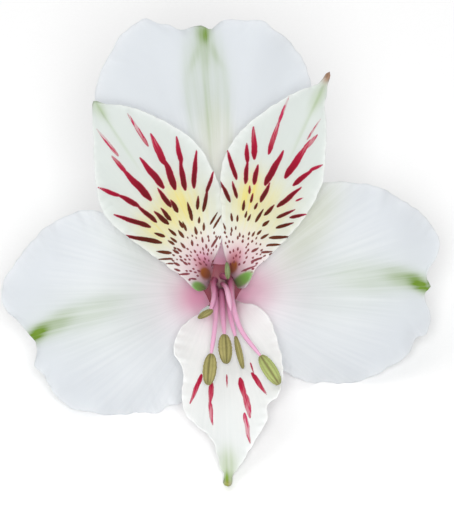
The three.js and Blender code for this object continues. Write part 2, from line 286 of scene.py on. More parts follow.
def linear(hex_colour: str) -> tuple[float, ...]:
    """Turns an sRGB hex colour into the linear colour that Blender's sockets hold.

    Args:
        hex_colour: such as "e8edf0".

    Returns:
        Red, green, blue, and an opacity of 1.
    """
    channels = (int(hex_colour[i : i + 2], 16) / 255 for i in (0, 2, 4))
    rgb = (c / 12.92 if c <= 0.04045 else ((c + 0.055) / 1.055) ** 2.4 for c in channels)
    return (*rgb, 1.0)


def add_node(
    tree: bpy.types.NodeTree,
    kind: str,
    inputs: dict[str | int, object] | None = None,
    output: str | int = 0,
    **settings: object,
) -> Socket | None:
    """Adds a node with its settings, values and links.

    Args:
        tree: the node tree.
        kind: the node's type name.
        inputs: by socket name or number, a value, or the output socket that feeds it.
        output: the name or number of the output that is wanted.
        **settings: the node's own properties.

    Returns:
        That output, or None from a node that has none.
    """
    new = tree.nodes.new(kind)
    for key, value in settings.items():
        setattr(new, key, value)
    for key, value in (inputs or {}).items():
        if isinstance(value, Socket):
            tree.links.new(value, new.inputs[key])
        else:
            new.inputs[key].default_value = value
    return new.outputs[output] if len(new.outputs) else None


def new_material(name: str) -> tuple[bpy.types.Material, Adder]:
    """Starts a material.

    Args:
        name: the material's name.

    Returns:
        The material, which has no nodes yet, and what adds them.
    """
    material = bpy.data.materials.new(name)
    material.use_nodes = True
    material.node_tree.nodes.clear()
    return material, partial(add_node, material.node_tree)


def new_group(name: str, sockets: dict[str, str]) -> tuple[bpy.types.NodeTree, Adder]:
    """Starts a geometry node group, which turns one geometry into another.

    Args:
        name: the group's name.
        sockets: its other inputs, each with its type.

    Returns:
        The group, and what adds nodes to it.
    """
    tree = bpy.data.node_groups.new(name, "GeometryNodeTree")
    shape = {"Geometry": "Geometry"}
    for direction, ends in (("INPUT", {**shape, **sockets}), ("OUTPUT", shape)):
        for end, kind in ends.items():
            tree.interface.new_socket(end, in_out=direction, socket_type=f"NodeSocket{kind}")
    return tree, partial(add_node, tree)


def layered(add: Adder, ground: str, layers: Sequence[tuple[Socket | str, str]]) -> Socket:
    """Lays colours over a ground, one after the other.

    Args:
        add: adds a node to the material.
        ground: the lowest colour, in hex.
        layers: how much there is of each further one, or the attribute that says so, and that
            colour.

    Returns:
        The colour seen from above.
    """
    colour = linear(ground)
    for amount, paint in layers:
        if isinstance(amount, str):
            amount = add("ShaderNodeAttribute", output="Fac", attribute_name=amount)
        inputs = {0: amount, MIX_A: colour, MIX_B: linear(paint)}
        colour = add("ShaderNodeMix", inputs, MIX_RESULT, data_type="RGBA")
    return colour


# ---------------------------------------------------------------- materials
class Pigment(Enum):
    """What colours a tepal's tissue, from the lowest layer up: pigments, and last a painted
    highlight along the margin.
    """

    YELLOW = "efe48b"
    BLUSH = "e586b2"
    GREEN = "8bab42"
    LEAF = "7cc052"
    NECTAR = "a8661c"
    MARGIN = "ffffff"  # no pigment: painted light along the thin margin, where it catches the light

    @property
    def mark(self) -> str:
        """The attribute that says how much of it there is."""
        return self.name.lower()


@dataclass(frozen=True)
class TepalTissue:
    """Living tepal: thin white tissue full of air, waxy outside, which lets light through.

    Soft sheen, faint long veins, and pigment that lies in patches and streaks along them.
    """

    name: str
    white: str
    shade: str
    veins: float  # across the whole margin
    streaked: bool
    glow: float  # share of light that passes through the thin blade; the stout claw passes none
    scratched: float = 0.7  # how far the outer streaks break up
    velvet: float = 0.0  # sheen of the claw

    # from the foot, as shares of the longest tepal: where the claw's velvet ends and is full,
    # where light starts to pass and passes fully, and where the painted shade that greys the tissue
    # away from the throat starts and is full
    CLAW = (0.25, 0.05)
    PASSING = (0.025, 0.3)
    OUTER_SHADE_SPAN = (0.35, 0.8)
    VEIN_JOINTS = 1.6  # how often a vein changes from the foot to the longest tepal's tip
    SCRATCHES = (3.2, 16.0)  # to a vein across, and joints along
    EDGE_TONE = "b82a52"  # of the streaks' edges
    TONES = (  # of their cores, by place: dull at the foot, brown, then crimson further out
        (0.08, "8c4450"), (0.20, "66361f"), (0.28, "5c2213"), (0.36, "661a17"), (0.41, "7c121f"),
        (0.46, "8f0c27"), (0.52, "a90f33"), (0.60, "c21746"), (0.70, "cf3463"),
    )

    def make(self) -> bpy.types.Material:
        """Builds the material.

        Returns:
            The new material.
        """
        material, add = new_material(self.name)
        blade = add("ShaderNodeUVMap", uv_map="blade")
        strands = self.strands(add, blade, self.veins, self.VEIN_JOINTS, 3.0, 0.6)
        reach = add("ShaderNodeSeparateXYZ", {0: blade}, "Y")
        # the last of these ranges is painted light and shade: the tissue is painted whitest at the
        # throat and greyer further out
        claw, passing, painted_shade_outward = (
            add(
                "ShaderNodeMapRange",
                {"Value": reach, "From Min": start, "From Max": end},
                interpolation_type="SMOOTHSTEP",
            )
            for start, end in (self.CLAW, self.PASSING, self.OUTER_SHADE_SPAN)
        )
        colour = self.pigments(add, strands, painted_shade_outward)
        if self.streaked:
            colour = self.streaks(add, blade, colour)
        # the skin's cells are 0.05 mm across, and are drawn at 0.2 mm so that they show
        grain = {"Scale": 5.0 / MM, "Detail": 1.0}
        place = add("ShaderNodeTexCoord", output="Object")
        cells = add("ShaderNodeTexNoise", {"Vector": place, **grain})
        fine = {"Height": cells, "Strength": 0.25, "Distance": 0.02 * MM}
        coarse = {"Height": strands, "Strength": 0.5, "Distance": 0.035 * MM}
        coarse["Normal"] = add("ShaderNodeBump", fine)
        relief = {"Normal": add("ShaderNodeBump", coarse)}
        # the claw's cells stand up like velvet, which lights it where it is seen aslant
        velvet = {0: claw, 1: self.velvet, 2: 0.05}
        sheen = add("ShaderNodeMath", velvet, operation="MULTIPLY_ADD")
        skin = {
            "Base Color": colour, "Roughness": 0.46, "IOR": 1.42, "Specular IOR Level": 0.25,
            "Sheen Weight": sheen, "Sheen Roughness": 0.5, "Sheen Tint": linear("ffd4e8"),
        }
        wax = add("ShaderNodeBsdfPrincipled", {**skin, **relief})
        through = add("ShaderNodeBsdfTranslucent", {"Color": colour, **relief})
        thin = add("ShaderNodeMath", {0: passing, 1: self.glow}, operation="MULTIPLY")
        both = add("ShaderNodeMixShader", {0: thin, 1: wax, 2: through})
        add("ShaderNodeOutputMaterial", {"Surface": both})
        return material

    @staticmethod
    def strands(
        add: Adder, blade: Socket, veins: float, joints: float, detail: float, rough: float
    ) -> Socket:
        """Noise drawn out along a blade's veins.

        Args:
            add: adds a node to the material.
            blade: the blade's UV map.
            veins: how many strands lie across the blade.
            joints: how often each changes from the foot to the longest tepal's tip.
            detail: how many octaves the noise has.
            rough: how strong the finer ones are.

        Returns:
            The noise, from 0 to 1.
        """
        drawn_out = add("ShaderNodeMapping", {"Vector": blade, "Scale": (veins, joints, 1.0)})
        inputs = {"Vector": drawn_out, "Scale": 1.0, "Detail": detail, "Roughness": rough}
        return add("ShaderNodeTexNoise", inputs, noise_dimensions="2D")

    def pigments(self, add: Adder, strands: Socket, painted_shade_outward: Socket) -> Socket:
        """Lays the pigments over the white tissue, which is greyer along its veins and is painted
        greyer away from the throat, as painted shade.

        Args:
            add: adds a node to the material.
            strands: noise drawn out along the veins.
            painted_shade_outward: how much painted shade greys the tissue, none at the throat.

        Returns:
            The tissue's colour.
        """
        # painted light and shade: whitest at the throat, greyer further out, on top of the grey
        # streaks along the veins
        greyer = {0: painted_shade_outward, 1: 0.8, 2: strands}
        layers = [(add("ShaderNodeMath", greyer, operation="MULTIPLY_ADD"), self.shade)]
        spread = {"From Min": 0.3, "From Max": 0.7, "To Min": 0.7, "To Max": 1.3}
        lined = add("ShaderNodeMapRange", {"Value": strands, **spread})
        for pigment in Pigment:
            amount = add("ShaderNodeAttribute", output="Fac", attribute_name=pigment.mark)
            lines = lined if pigment in (Pigment.GREEN, Pigment.YELLOW) else 1.0
            laid = {0: amount, 1: lines}
            laid = add("ShaderNodeMath", laid, operation="MULTIPLY", use_clamp=True)
            layers.append((laid, pigment.value))
        return layered(add, self.white, layers)

    def streaks(self, add: Adder, blade: Socket, colour: Socket) -> Socket:
        """Lays the dark nectar guides over the tissue's colour.

        They are brown near the foot and crimson further out, where they break up into scratches,
        and their edges are redder than their cores.

        Args:
            add: adds a node to the material.
            blade: the blade's UV map.
            colour: the colour beneath.

        Returns:
            The colour with the streaks.
        """
        distance, tone, face = (
            add("ShaderNodeAttribute", output="Fac", attribute_name=name)
            for name in ("streak", "tone", "face")
        )
        grain = {"Scale": 2.6 / MM, "Detail": 2.0}
        place = add("ShaderNodeTexCoord", output="Object")
        ragged = add("ShaderNodeTexNoise", {"Vector": place, **grain})
        edge = add("ShaderNodeMath", {0: ragged, 1: 0.1, 2: distance}, operation="MULTIPLY_ADD")
        scratches, joints = self.SCRATCHES
        scratches = self.strands(add, blade, scratches * self.veins, joints, 1.0, 0.5)
        inside, core, scratch, far, near = (
            add(
                "ShaderNodeMapRange",
                {"Value": read, "From Min": start, "From Max": end},
                interpolation_type="SMOOTHSTEP",
            )
            for read, start, end in (
                (edge, 0.10, 0.0), (edge, 0.02, -0.14), (scratches, 0.42, 0.56),
                (tone, 0.52, 0.74), (tone, 0.42, 0.28),
            )
        )
        gaps = add("ShaderNodeMath", {0: scratch, 1: far}, operation="MULTIPLY")
        broken = {0: gaps, 1: -self.scratched, 2: 1.0}
        kept = add("ShaderNodeMath", broken, operation="MULTIPLY_ADD")
        whole = add("ShaderNodeMath", {0: inside, 1: kept}, operation="MULTIPLY")
        shown = add("ShaderNodeMath", {0: whole, 1: face}, operation="MULTIPLY")
        dark = add("ShaderNodeValToRGB", {0: tone})
        stops = dark.node.color_ramp.elements
        for number, (position, shade) in enumerate(self.TONES):
            stop = stops[number] if number < len(stops) else stops.new(position)
            stop.position, stop.color = position, linear(shade)
        plain = add("ShaderNodeMath", {0: core, 1: near}, operation="MAXIMUM")
        red = {0: plain, MIX_A: linear(self.EDGE_TONE), MIX_B: dark}
        red = add("ShaderNodeMix", red, MIX_RESULT, data_type="RGBA")
        laid = {0: shown, MIX_A: colour, MIX_B: red}
        return add("ShaderNodeMix", laid, MIX_RESULT, data_type="RGBA")


@dataclass(frozen=True)
class FleshyTissue:
    """Firm plant tissue: filaments, style, ovary and stalk, smooth and slightly waxy.

    Faint mottling under the skin, and a colour that changes slowly along the piece.
    """

    name: str
    near: str
    far: str
    roughness: float = 0.42
    start_mm: float = -17.0  # depth in the bloom's frame where the colour is `near`
    end_mm: float = 5.0  # and where it is `far`
    ridge: str | None = None  # its ridges' colour, where the attribute `ridge` is 1

    def make(self) -> bpy.types.Material:
        """Builds the material.

        Returns:
            The new material.
        """
        material, add = new_material(self.name)
        place = add("ShaderNodeTexCoord", output="Object")
        grain = {"Scale": 0.9 / MM, "Detail": 3.0}
        mottle = add("ShaderNodeTexNoise", {"Vector": place, **grain})
        throat, out = Vector(LAY.throat) * MM, LAY.turn() @ Vector((0, 0, 1))
        offset = add("ShaderNodeVectorMath", {0: place, 1: throat}, operation="SUBTRACT")
        depth = add("ShaderNodeVectorMath", {0: offset, 1: out}, "Value", operation="DOT_PRODUCT")
        ends = {"From Min": self.start_mm * MM, "From Max": self.end_mm * MM}
        along = add("ShaderNodeMapRange", {"Value": depth, **ends})
        blend = {0: mottle, 1: 0.5, 2: along}
        blend = add("ShaderNodeMath", blend, operation="MULTIPLY_ADD", use_clamp=True)
        layers = [(blend, self.far)]
        if self.ridge:
            layers.append(("ridge", self.ridge))
        relief = {"Height": mottle, "Strength": 0.4, "Distance": 0.05 * MM}
        skin = {
            "Base Color": layered(add, self.near, layers),
            "Roughness": self.roughness, "IOR": 1.42, "Normal": add("ShaderNodeBump", relief),
            "Subsurface Weight": 0.15, "Subsurface Scale": 0.6 * MM,
            "Subsurface Radius": (1.0, 0.5, 0.4),
        }
        flesh = add("ShaderNodeBsdfPrincipled", skin)
        add("ShaderNodeOutputMaterial", {"Surface": flesh})
        return material


@dataclass(frozen=True)
class Powder:
    """Dull dry stuff: anther walls, pollen, and the paper underneath.

    It is mottled, and painted darker where its crease attribute says, as painted shade in its
    folds.
    """

    name: str
    light: str
    dark: str
    grain_mm: float
    roughness: float = 0.85
    crease: str | None = None

    def make(self) -> bpy.types.Material:
        """Builds the material.

        Returns:
            The new material.
        """
        material, add = new_material(self.name)
        place = add("ShaderNodeTexCoord", output="Object")
        size = self.grain_mm * MM
        grain = add("ShaderNodeTexNoise", {"Vector": place, "Scale": 1 / size, "Detail": 2.0})
        layers = [(grain, self.light)]
        # painted shade: darker where the attribute says the surface folds in
        if self.crease:
            layers.append(("crease", self.crease))
        relief = {"Height": grain, "Strength": 0.3, "Distance": 0.1 * size}
        skin = {
            "Base Color": layered(add, self.dark, layers),
            "Roughness": self.roughness, "Specular IOR Level": 0.25,
            "Normal": add("ShaderNodeBump", relief),
        }
        dust = add("ShaderNodeBsdfPrincipled", skin)
        add("ShaderNodeOutputMaterial", {"Surface": dust})
        return material


# ---------------------------------------------------------------- tepals
@dataclass(frozen=True)
class Patch:
    """A soft spot of pigment on a blade, `along` and `across` it, with its half-sizes in mm.

    A strength over 1 also hides the fine lines in it.
    """

    pigment: Pigment
    along: float
    across: float
    length: float
    width: float
    strength: float
    turn: float = 0.0
    crispness: float = 1.3

    def amount(self, along: np.ndarray, across: np.ndarray) -> np.ndarray:
        """How much pigment there is.

        Args:
            along: places along the blade, in mm.
            across: places across it.

        Returns:
            From 0 to `strength` at each place.
        """
        angle = math.radians(self.turn)
        run, rise = along - self.along, across - self.across
        x = run * math.cos(angle) + rise * math.sin(angle)
        y = rise * math.cos(angle) - run * math.sin(angle)
        away = ((x / self.length) ** 2 + (y / self.width) ** 2) ** self.crispness
        return self.strength * np.exp(-away)


@dataclass(frozen=True)
class Ruffle:
    """The waves of a margin: how many, how high in mm, and where they start."""

    waves: float
    height: float
    phase: float


@dataclass(frozen=True)
class Tepal:
    """One tepal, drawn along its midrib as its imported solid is, and finished finer.

    `along` runs from its foot on the ovary to its tip and `across` to the left of that. `right`
    and `left` are the halves of its margin, each from the foot to the tip. The blade is a fan of
    ribs, each from the midrib out to the margin. All sizes are in mm.
    """

    node: str
    ring: float
    ring_angle: float
    heading: float
    right: Sequence[Pair]
    left: Sequence[Pair]
    midrib: Sequence[Pair]
    curl: Pair  # how far the right and the left half rise
    ruffle: Ruffle
    slot: str
    ribs: int
    steps: int
    patches: Sequence[Patch] = ()
    streaks: Sequence[Streak] = ()
    specks: int = 0
    tone: float = 0.0  # added to the streaks' tone, which turns from brown at 0.2 to crimson at 0.6
    scallop: float = 0.1
    edge_light_strength: float = 0.45  # how much lighter the margin is painted, as painted highlight
    fold: float = 0.3  # height of the long folds
    frill: float = 1.0  # height of the margin's small waves, as a share of the usual
    seed: int = 1

    FULL_LENGTH = 40.0  # of the longest tepal, to which places along a blade are scaled
    FAN = 0.93  # share of its length at which the last ribs fan out to the tip
    MIDRIB_CROWDING = 1.15
    MARGIN_CROWDING = 1.35
    CURL_AT = 10.0  # how far from the midrib the curl is measured
    # the margin's scallops: share, fewest and most of them, and the seed's step
    SCALLOPS = ((0.6, 9, 17, 0), (0.4, 20, 30, 1))
    SCALLOPS_FROM = (0.2, 2.0)  # where full: share of the way from the foot, and off the tip
    # its frills: height, fewest and most, the seed's step, and how fast they die away inwards
    FRILLS = ((0.16, 7, 13, 3, 6), (0.09, 20, 32, 6, 5))
    RUFFLE_DEPTH = 3  # how fast all its waves die away inwards
    WAVES_FROM = (2.0, 8.0)  # the foot: where they start, and where they are full
    FOLDS = (3.9, 11.7)  # fewest and most across the blade
    TROUGH = (0.22, 1.1, 4.0)  # its depth, half its width, and how far out from the foot it is full
    FOOT = (0.7, 0.5)  # how deep the foot reaches into the ovary, and over what length it turns in
    REST_HEIGHT = 0.01  # of the lowest margins, which the surface holds up
    # the blade's thickness, how much thinner its margin is, and what its claw, its tip and its
    # midrib add, over what distance
    MIDDLE = 0.30
    THINNER = 0.14
    CLAW = (0.35, 3.0)
    TIP = (0.7, 1.2)
    RIB = (0.14, 0.7)
    RIM = 0.8  # how far the rounded margin stands out, as a share of half the thickness
    # raised veins: how many, their height, how far behind the foot they meet, and where they
    # start and are full
    VEINS = 30
    VEIN_HEIGHT = 0.02
    VEINS_MEET = 3.0
    VEINS_FROM = (5.0, 15.0)
    EDGE_LIGHT_FALLOFF = 14  # how fast the painted edge light dies away inwards
    EDGE_ENDS = (10.0, 3.0)  # how far from the foot and from the tip the painted edge light is full
    MOST_PIGMENT = 1.3
    SEEN_BEHIND = 0.45  # how strongly the streaks show on the back
    EARS_BEHIND = 0.15  # the green ears and the nectaries there
    BROAD = 0.5  # the width from which a streak wavers
    WAVER = (0.038, 0.1, 0.4)  # how far it does, and fewest and most waves to the millimetre
    STREAK_BREADTH = 0.62  # half of it, as a share of a streak's width
    STREAK_ENDS = ((0.55, 0.6), (0.22, 0.5))  # far and near: share that tapers, and bluntness
    STREAK_PAST = 0.05  # share of its length by which the taper runs on past it
    # specks: how far from the foot, degrees to each side, the gap between the middles of two,
    # half their length, their width, and how often a place is tried for each
    SPECK_FIELD = (2.0, 7.4)
    SPECK_SPREAD = 68
    SPECK_GAP = 0.56
    SPECK_HALVES = (0.14, 0.28)
    SPECK_WIDTHS = (0.22, 0.32)
    SPECK_TRIES = 60

    def scalloped(self, shares: np.ndarray, turn: np.ndarray, edge: np.ndarray) -> np.ndarray:
        """One half of the margin with its fine scallops, which stand in and out in its plane.

        Args:
            shares: how far along that half each point lies.
            turn: the same, counted on round the tip for the left half.
            edge: the smooth margin's points.

        Returns:
            The points, moved in and out.
        """
        run = np.gradient(edge, axis=0)
        outward = unit(np.stack([run[:, 1], -run[:, 0]], axis=-1))
        waves = sum(
            share * ripple(turn, fewest, most, self.seed + step)
            for share, fewest, most, step in self.SCALLOPS
        )
        to_tip = np.linalg.norm(edge - np.array(self.right[-1]), axis=1)
        foot, tip = self.SCALLOPS_FROM
        ends = np.clip(shares / foot, 0, 1) * (1 - bell(to_tip, tip))
        return edge + outward * (self.scallop * ends * waves)[:, None]

    def half(self, right: bool) -> dict[str, np.ndarray]:
        """One half of the blade's middle surface, with what is known of each of its points.

        Args:
            right: whether it is the right half.

        Returns:
            Grids of ribs by steps, the ribs from the foot to the tip: "uvw" in the bloom's frame,
            "along", "across", "reach" from the foot, "out" from midrib to margin, "vein" for the
            way that the veins run there.
        """
        k = np.linspace(0, 1, self.ribs + 1)
        shares = k**self.MARGIN_CROWDING
        turn = shares if right else 2 - shares
        smooth = evenly(self.right if right else self.left, shares)
        edge = self.scalloped(shares, turn, smooth)[:, None]
        start = np.zeros_like(edge)
        start[:, 0, 0] = self.FAN * self.right[-1][0] * k**self.MIDRIB_CROWDING
        out = np.linspace(0, 1, self.steps + 1)[None]
        along, across = np.moveaxis(start + (edge - start) * out[..., None], -1, 0)
        reach = self.reach(along, across)
        vein = np.arctan2(across, along + self.VEINS_MEET) / math.pi
        calm, full = self.WAVES_FROM
        rise = np.clip((np.linalg.norm(smooth, axis=1) - calm) / (full - calm), 0, 1)
        rise = (rise * rise * (3 - 2 * rise))[:, None]
        turn = turn[:, None]
        wave = self.ruffle.height * np.sin(math.pi * self.ruffle.waves * turn + self.ruffle.phase)
        frills = sum(
            height * ripple(turn, fewest, most, self.seed + step) * out**near
            for height, fewest, most, step, near in self.FRILLS
        )
        waves = rise * out**self.RUFFLE_DEPTH * (wave + self.frill * frills)
        curl = self.curl[0 if right else 1] * (across / self.CURL_AT) ** 2
        depth = height_on(self.midrib, reach) + curl + waves + self.folds(vein, out, reach, across)
        ring_angle, heading = math.radians(self.ring_angle), math.radians(self.heading)
        u = along * math.cos(heading) - across * math.sin(heading)
        v = along * math.sin(heading) + across * math.cos(heading)
        u, v = self.ring * math.cos(ring_angle) + u, self.ring * math.sin(ring_angle) + v
        out = np.broadcast_to(out, along.shape)
        return {
            "uvw": np.stack([u, v, depth], axis=-1),
            "along": along, "across": across, "reach": reach, "out": out, "vein": vein,
        }

    def reach(self, along: np.ndarray, across: np.ndarray) -> np.ndarray:
        """How far each place on the blade is from the foot, the line that it stands on."""
        corner, other = np.array(self.right[0]), np.array(self.left[0])
        line = other - corner
        place = np.stack([along, across], axis=-1) - corner
        held = np.clip(place @ line / (line @ line), 0, 1)
        return np.linalg.norm(place - held[..., None] * line, axis=-1)

    def folds(
        self, vein: np.ndarray, out: np.ndarray, reach: np.ndarray, across: np.ndarray
    ) -> np.ndarray:
        """The blade's soft folds along its veins, its trough along the midrib and its foot."""
        share = np.clip(reach / self.right[-1][0], 0, 1)
        long_folds = self.fold * ripple(vein, *self.FOLDS, self.seed + 2) * out * share**2
        sunk, half_width, full = self.TROUGH
        trough = sunk * bell(across, half_width) * np.clip(reach / full, 0, 1) * (1 - share**4)
        inside, turned_in = self.FOOT
        return long_folds - trough - inside * np.clip(1 - reach / turned_in, 0, 1)

    def from_tip(self, place: dict[str, np.ndarray]) -> np.ndarray:
        """How far each place on the blade is from its tip."""
        tip_along, tip_across = self.right[-1]
        return np.hypot(place["along"] - tip_along, place["across"] - tip_across)

    def thickness(self, place: dict[str, np.ndarray]) -> np.ndarray:
        """How thick the blade is: stout at its claw, thin at its margin, swollen at its tip."""
        claw = self.CLAW[0] * np.exp(-place["reach"] / self.CLAW[1])
        swollen = self.TIP[0] * bell(self.from_tip(place), self.TIP[1])
        to_tip = np.clip(1 - place["along"] / self.right[-1][0], 0, 1)
        rib = self.RIB[0] * bell(place["across"], self.RIB[1]) * to_tip
        return self.MIDDLE - self.THINNER * place["out"] ** 3 + claw + swollen + rib

    def streak_distance(self, along: np.ndarray, across: np.ndarray) -> np.ndarray:
        """How far each place is outside the nearest dark streak, and below 0 inside one.

        Args:
            along: places along the blade.
            across: places across it.

        Returns:
            The distances.
        """
        nearest = np.full(along.shape, 5.0)  # further than any streak reaches
        height, fewest, most = self.WAVER
        waver = height * ripple(along, fewest, most, self.seed + 4)
        for x0, y0, x1, y1, width in [*self.streaks, *self.scattered()]:
            run, rise = x1 - x0, y1 - y0
            length = math.hypot(run, rise)
            t = ((along - x0) * run + (across - y0) * rise) / length**2
            bend = waver * length * (width > self.BROAD)
            off = np.abs((along - x0) * rise - (across - y0) * run + bend) / length
            held = np.clip(t, 0, 1)
            past = np.abs(t - held) * length
            breadth = self.STREAK_BREADTH * width
            for rest, (tapered, bluntness) in zip((held, 1 - held), self.STREAK_ENDS):
                taper = ((rest + self.STREAK_PAST) / tapered) ** bluntness
                breadth = breadth * np.minimum(taper, 1)
            nearest = np.minimum(nearest, np.hypot(off, past) - breadth)
        return nearest

    def scattered(self) -> list[Streak]:
        """The small specks near the foot, each pointing out from it and clear of its neighbours."""
        draw = np.random.RandomState(self.seed + 5)
        taken = [((x0 + x1) / 2, (y0 + y1) / 2) for x0, y0, x1, y1, _ in self.streaks]
        specks = []
        for _ in range(self.SPECK_TRIES * self.specks):
            distance = draw.uniform(*self.SPECK_FIELD)
            angle = math.radians(draw.uniform(-self.SPECK_SPREAD, self.SPECK_SPREAD))
            x, y = distance * math.cos(angle), distance * math.sin(angle)
            crowded = any(math.dist((x, y), other) < self.SPECK_GAP for other in taken)
            if len(specks) == self.specks or crowded:
                continue
            taken.append((x, y))
            half, width = draw.uniform(*self.SPECK_HALVES), draw.uniform(*self.SPECK_WIDTHS)
            dx, dy = half * math.cos(angle), half * math.sin(angle)
            specks.append((x + dx, y + dy, x - dx, y - dy, width))
        return specks

    def marks(self, place: dict[str, np.ndarray]) -> dict[str, np.ndarray]:
        """What the tissue's material reads at each point: pigments, painted light along the margin,
        and streaks if it has any.
        """
        along, across = place["along"], place["across"]
        marks = {}
        if self.streaks:
            marks["streak"] = self.streak_distance(along, across)
            marks["tone"] = np.hypot(along, across) / self.FULL_LENGTH + self.tone
        for pigment in Pigment:
            spots = [spot.amount(along, across) for spot in self.patches if spot.pigment is pigment]
            if spots:
                marks[pigment.mark] = np.clip(sum(spots), 0, self.MOST_PIGMENT)
        # painted highlight: the margin is painted white where the thin edge catches the light
        foot, tip = self.EDGE_ENDS
        free = np.clip(place["reach"] / foot, 0, 1) * (1 - bell(self.from_tip(place), tip))
        marks[Pigment.MARGIN.mark] = self.edge_light_strength * place["out"] ** self.EDGE_LIGHT_FALLOFF * free
        return marks

    def build(self, material: bpy.types.Material) -> bpy.types.Object:
        """Builds the blade: two faces, and a rounded margin between them.

        Args:
            material: the tissue it is made of.

        Returns:
            The finished piece.
        """
        right, left = self.half(True), self.half(False)
        columns = self.steps + 1
        index = np.arange((self.ribs + 1) * columns).reshape(-1, columns)
        beyond = index[-1, -1] + 1 + np.arange(self.ribs * self.steps).reshape(-1, self.steps)
        index = np.vstack([index, np.hstack([index[-2::-1, :1], beyond])])
        place = {
            name: np.concatenate([
                right[name].reshape(-1, *right[name].shape[2:]),
                left[name][-2::-1, 1:].reshape(-1, *left[name].shape[2:]),
            ])
            for name in right
        }
        middle = place["uvw"]
        corners = [index[:-1, :-1], index[:-1, 1:], index[1:, 1:], index[1:, :-1]]
        quads = np.stack(corners, axis=-1).reshape(-1, 4)
        normal = point_normals(middle, quads)
        half = self.thickness(place)[:, None] / 2
        raised = self.VEIN_HEIGHT * np.cos(2 * math.pi * self.VEINS * place["vein"])
        flat, full = self.VEINS_FROM
        veins = (raised * np.clip((place["reach"] - flat) / (full - flat), 0, 1))[:, None]
        front, back = middle + normal * (half + veins), middle - normal * (half - veins)
        loop = np.concatenate([index[0], index[1:, -1], index[-1, -2:0:-1]])
        run = np.roll(middle[loop], -1, axis=0) - np.roll(middle[loop], 1, axis=0)
        rim = middle[loop] + unit(np.cross(run, normal[loop])) * half[loop] * self.RIM
        count = len(middle)
        rims = 2 * count + np.arange(len(loop))
        ahead, rims_ahead = np.roll(loop, -1), np.roll(rims, -1)
        faces = np.vstack([
            quads,
            quads[:, ::-1] + count,
            np.stack([loop, rims, rims_ahead, ahead], axis=-1),
            np.stack([rims, loop + count, ahead + count, rims_ahead], axis=-1),
        ])
        everywhere = np.concatenate([np.arange(count), np.arange(count), loop])
        marks = {name: mark[everywhere] for name, mark in self.marks(place).items()}
        behind = np.arange(len(everywhere)) // count == 1
        if self.streaks:  # none crosses the green ears
            shows = np.where(behind, self.SEEN_BEHIND, 1)
            marks["face"] = shows * (1 - marks.get(Pigment.LEAF.mark, 0))
        shows = np.where(behind, self.EARS_BEHIND, 1)
        for name in marks.keys() & {Pigment.LEAF.mark, Pigment.NECTAR.mark}:
            marks[name] = marks[name] * shows
        uv = np.stack([place["vein"], place["reach"] / self.FULL_LENGTH], axis=-1)[everywhere]
        places = LAY.place(np.vstack([front, back, rim]))
        places[:, 2] = np.maximum(places[:, 2], self.REST_HEIGHT * MM)
        blade = Skin(places, faces.tolist(), marks, uv).build(f"{self.node}_blade", material)
        return settle(blade, self.node)


G, LF, BL, Y, N = Pigment.GREEN, Pigment.LEAF, Pigment.BLUSH, Pigment.YELLOW, Pigment.NECTAR
OUTER = {
    "ring": 3.4, "slot": "outer_tepals", "ribs": 120, "steps": 66,
    "edge_light_strength": 0.25, "fold": 0.5, "frill": 1.5,
}
INNER = {"ring": 2.4, "slot": "inner_tepals", "ribs": 160, "steps": 100, "scallop": 0.08}

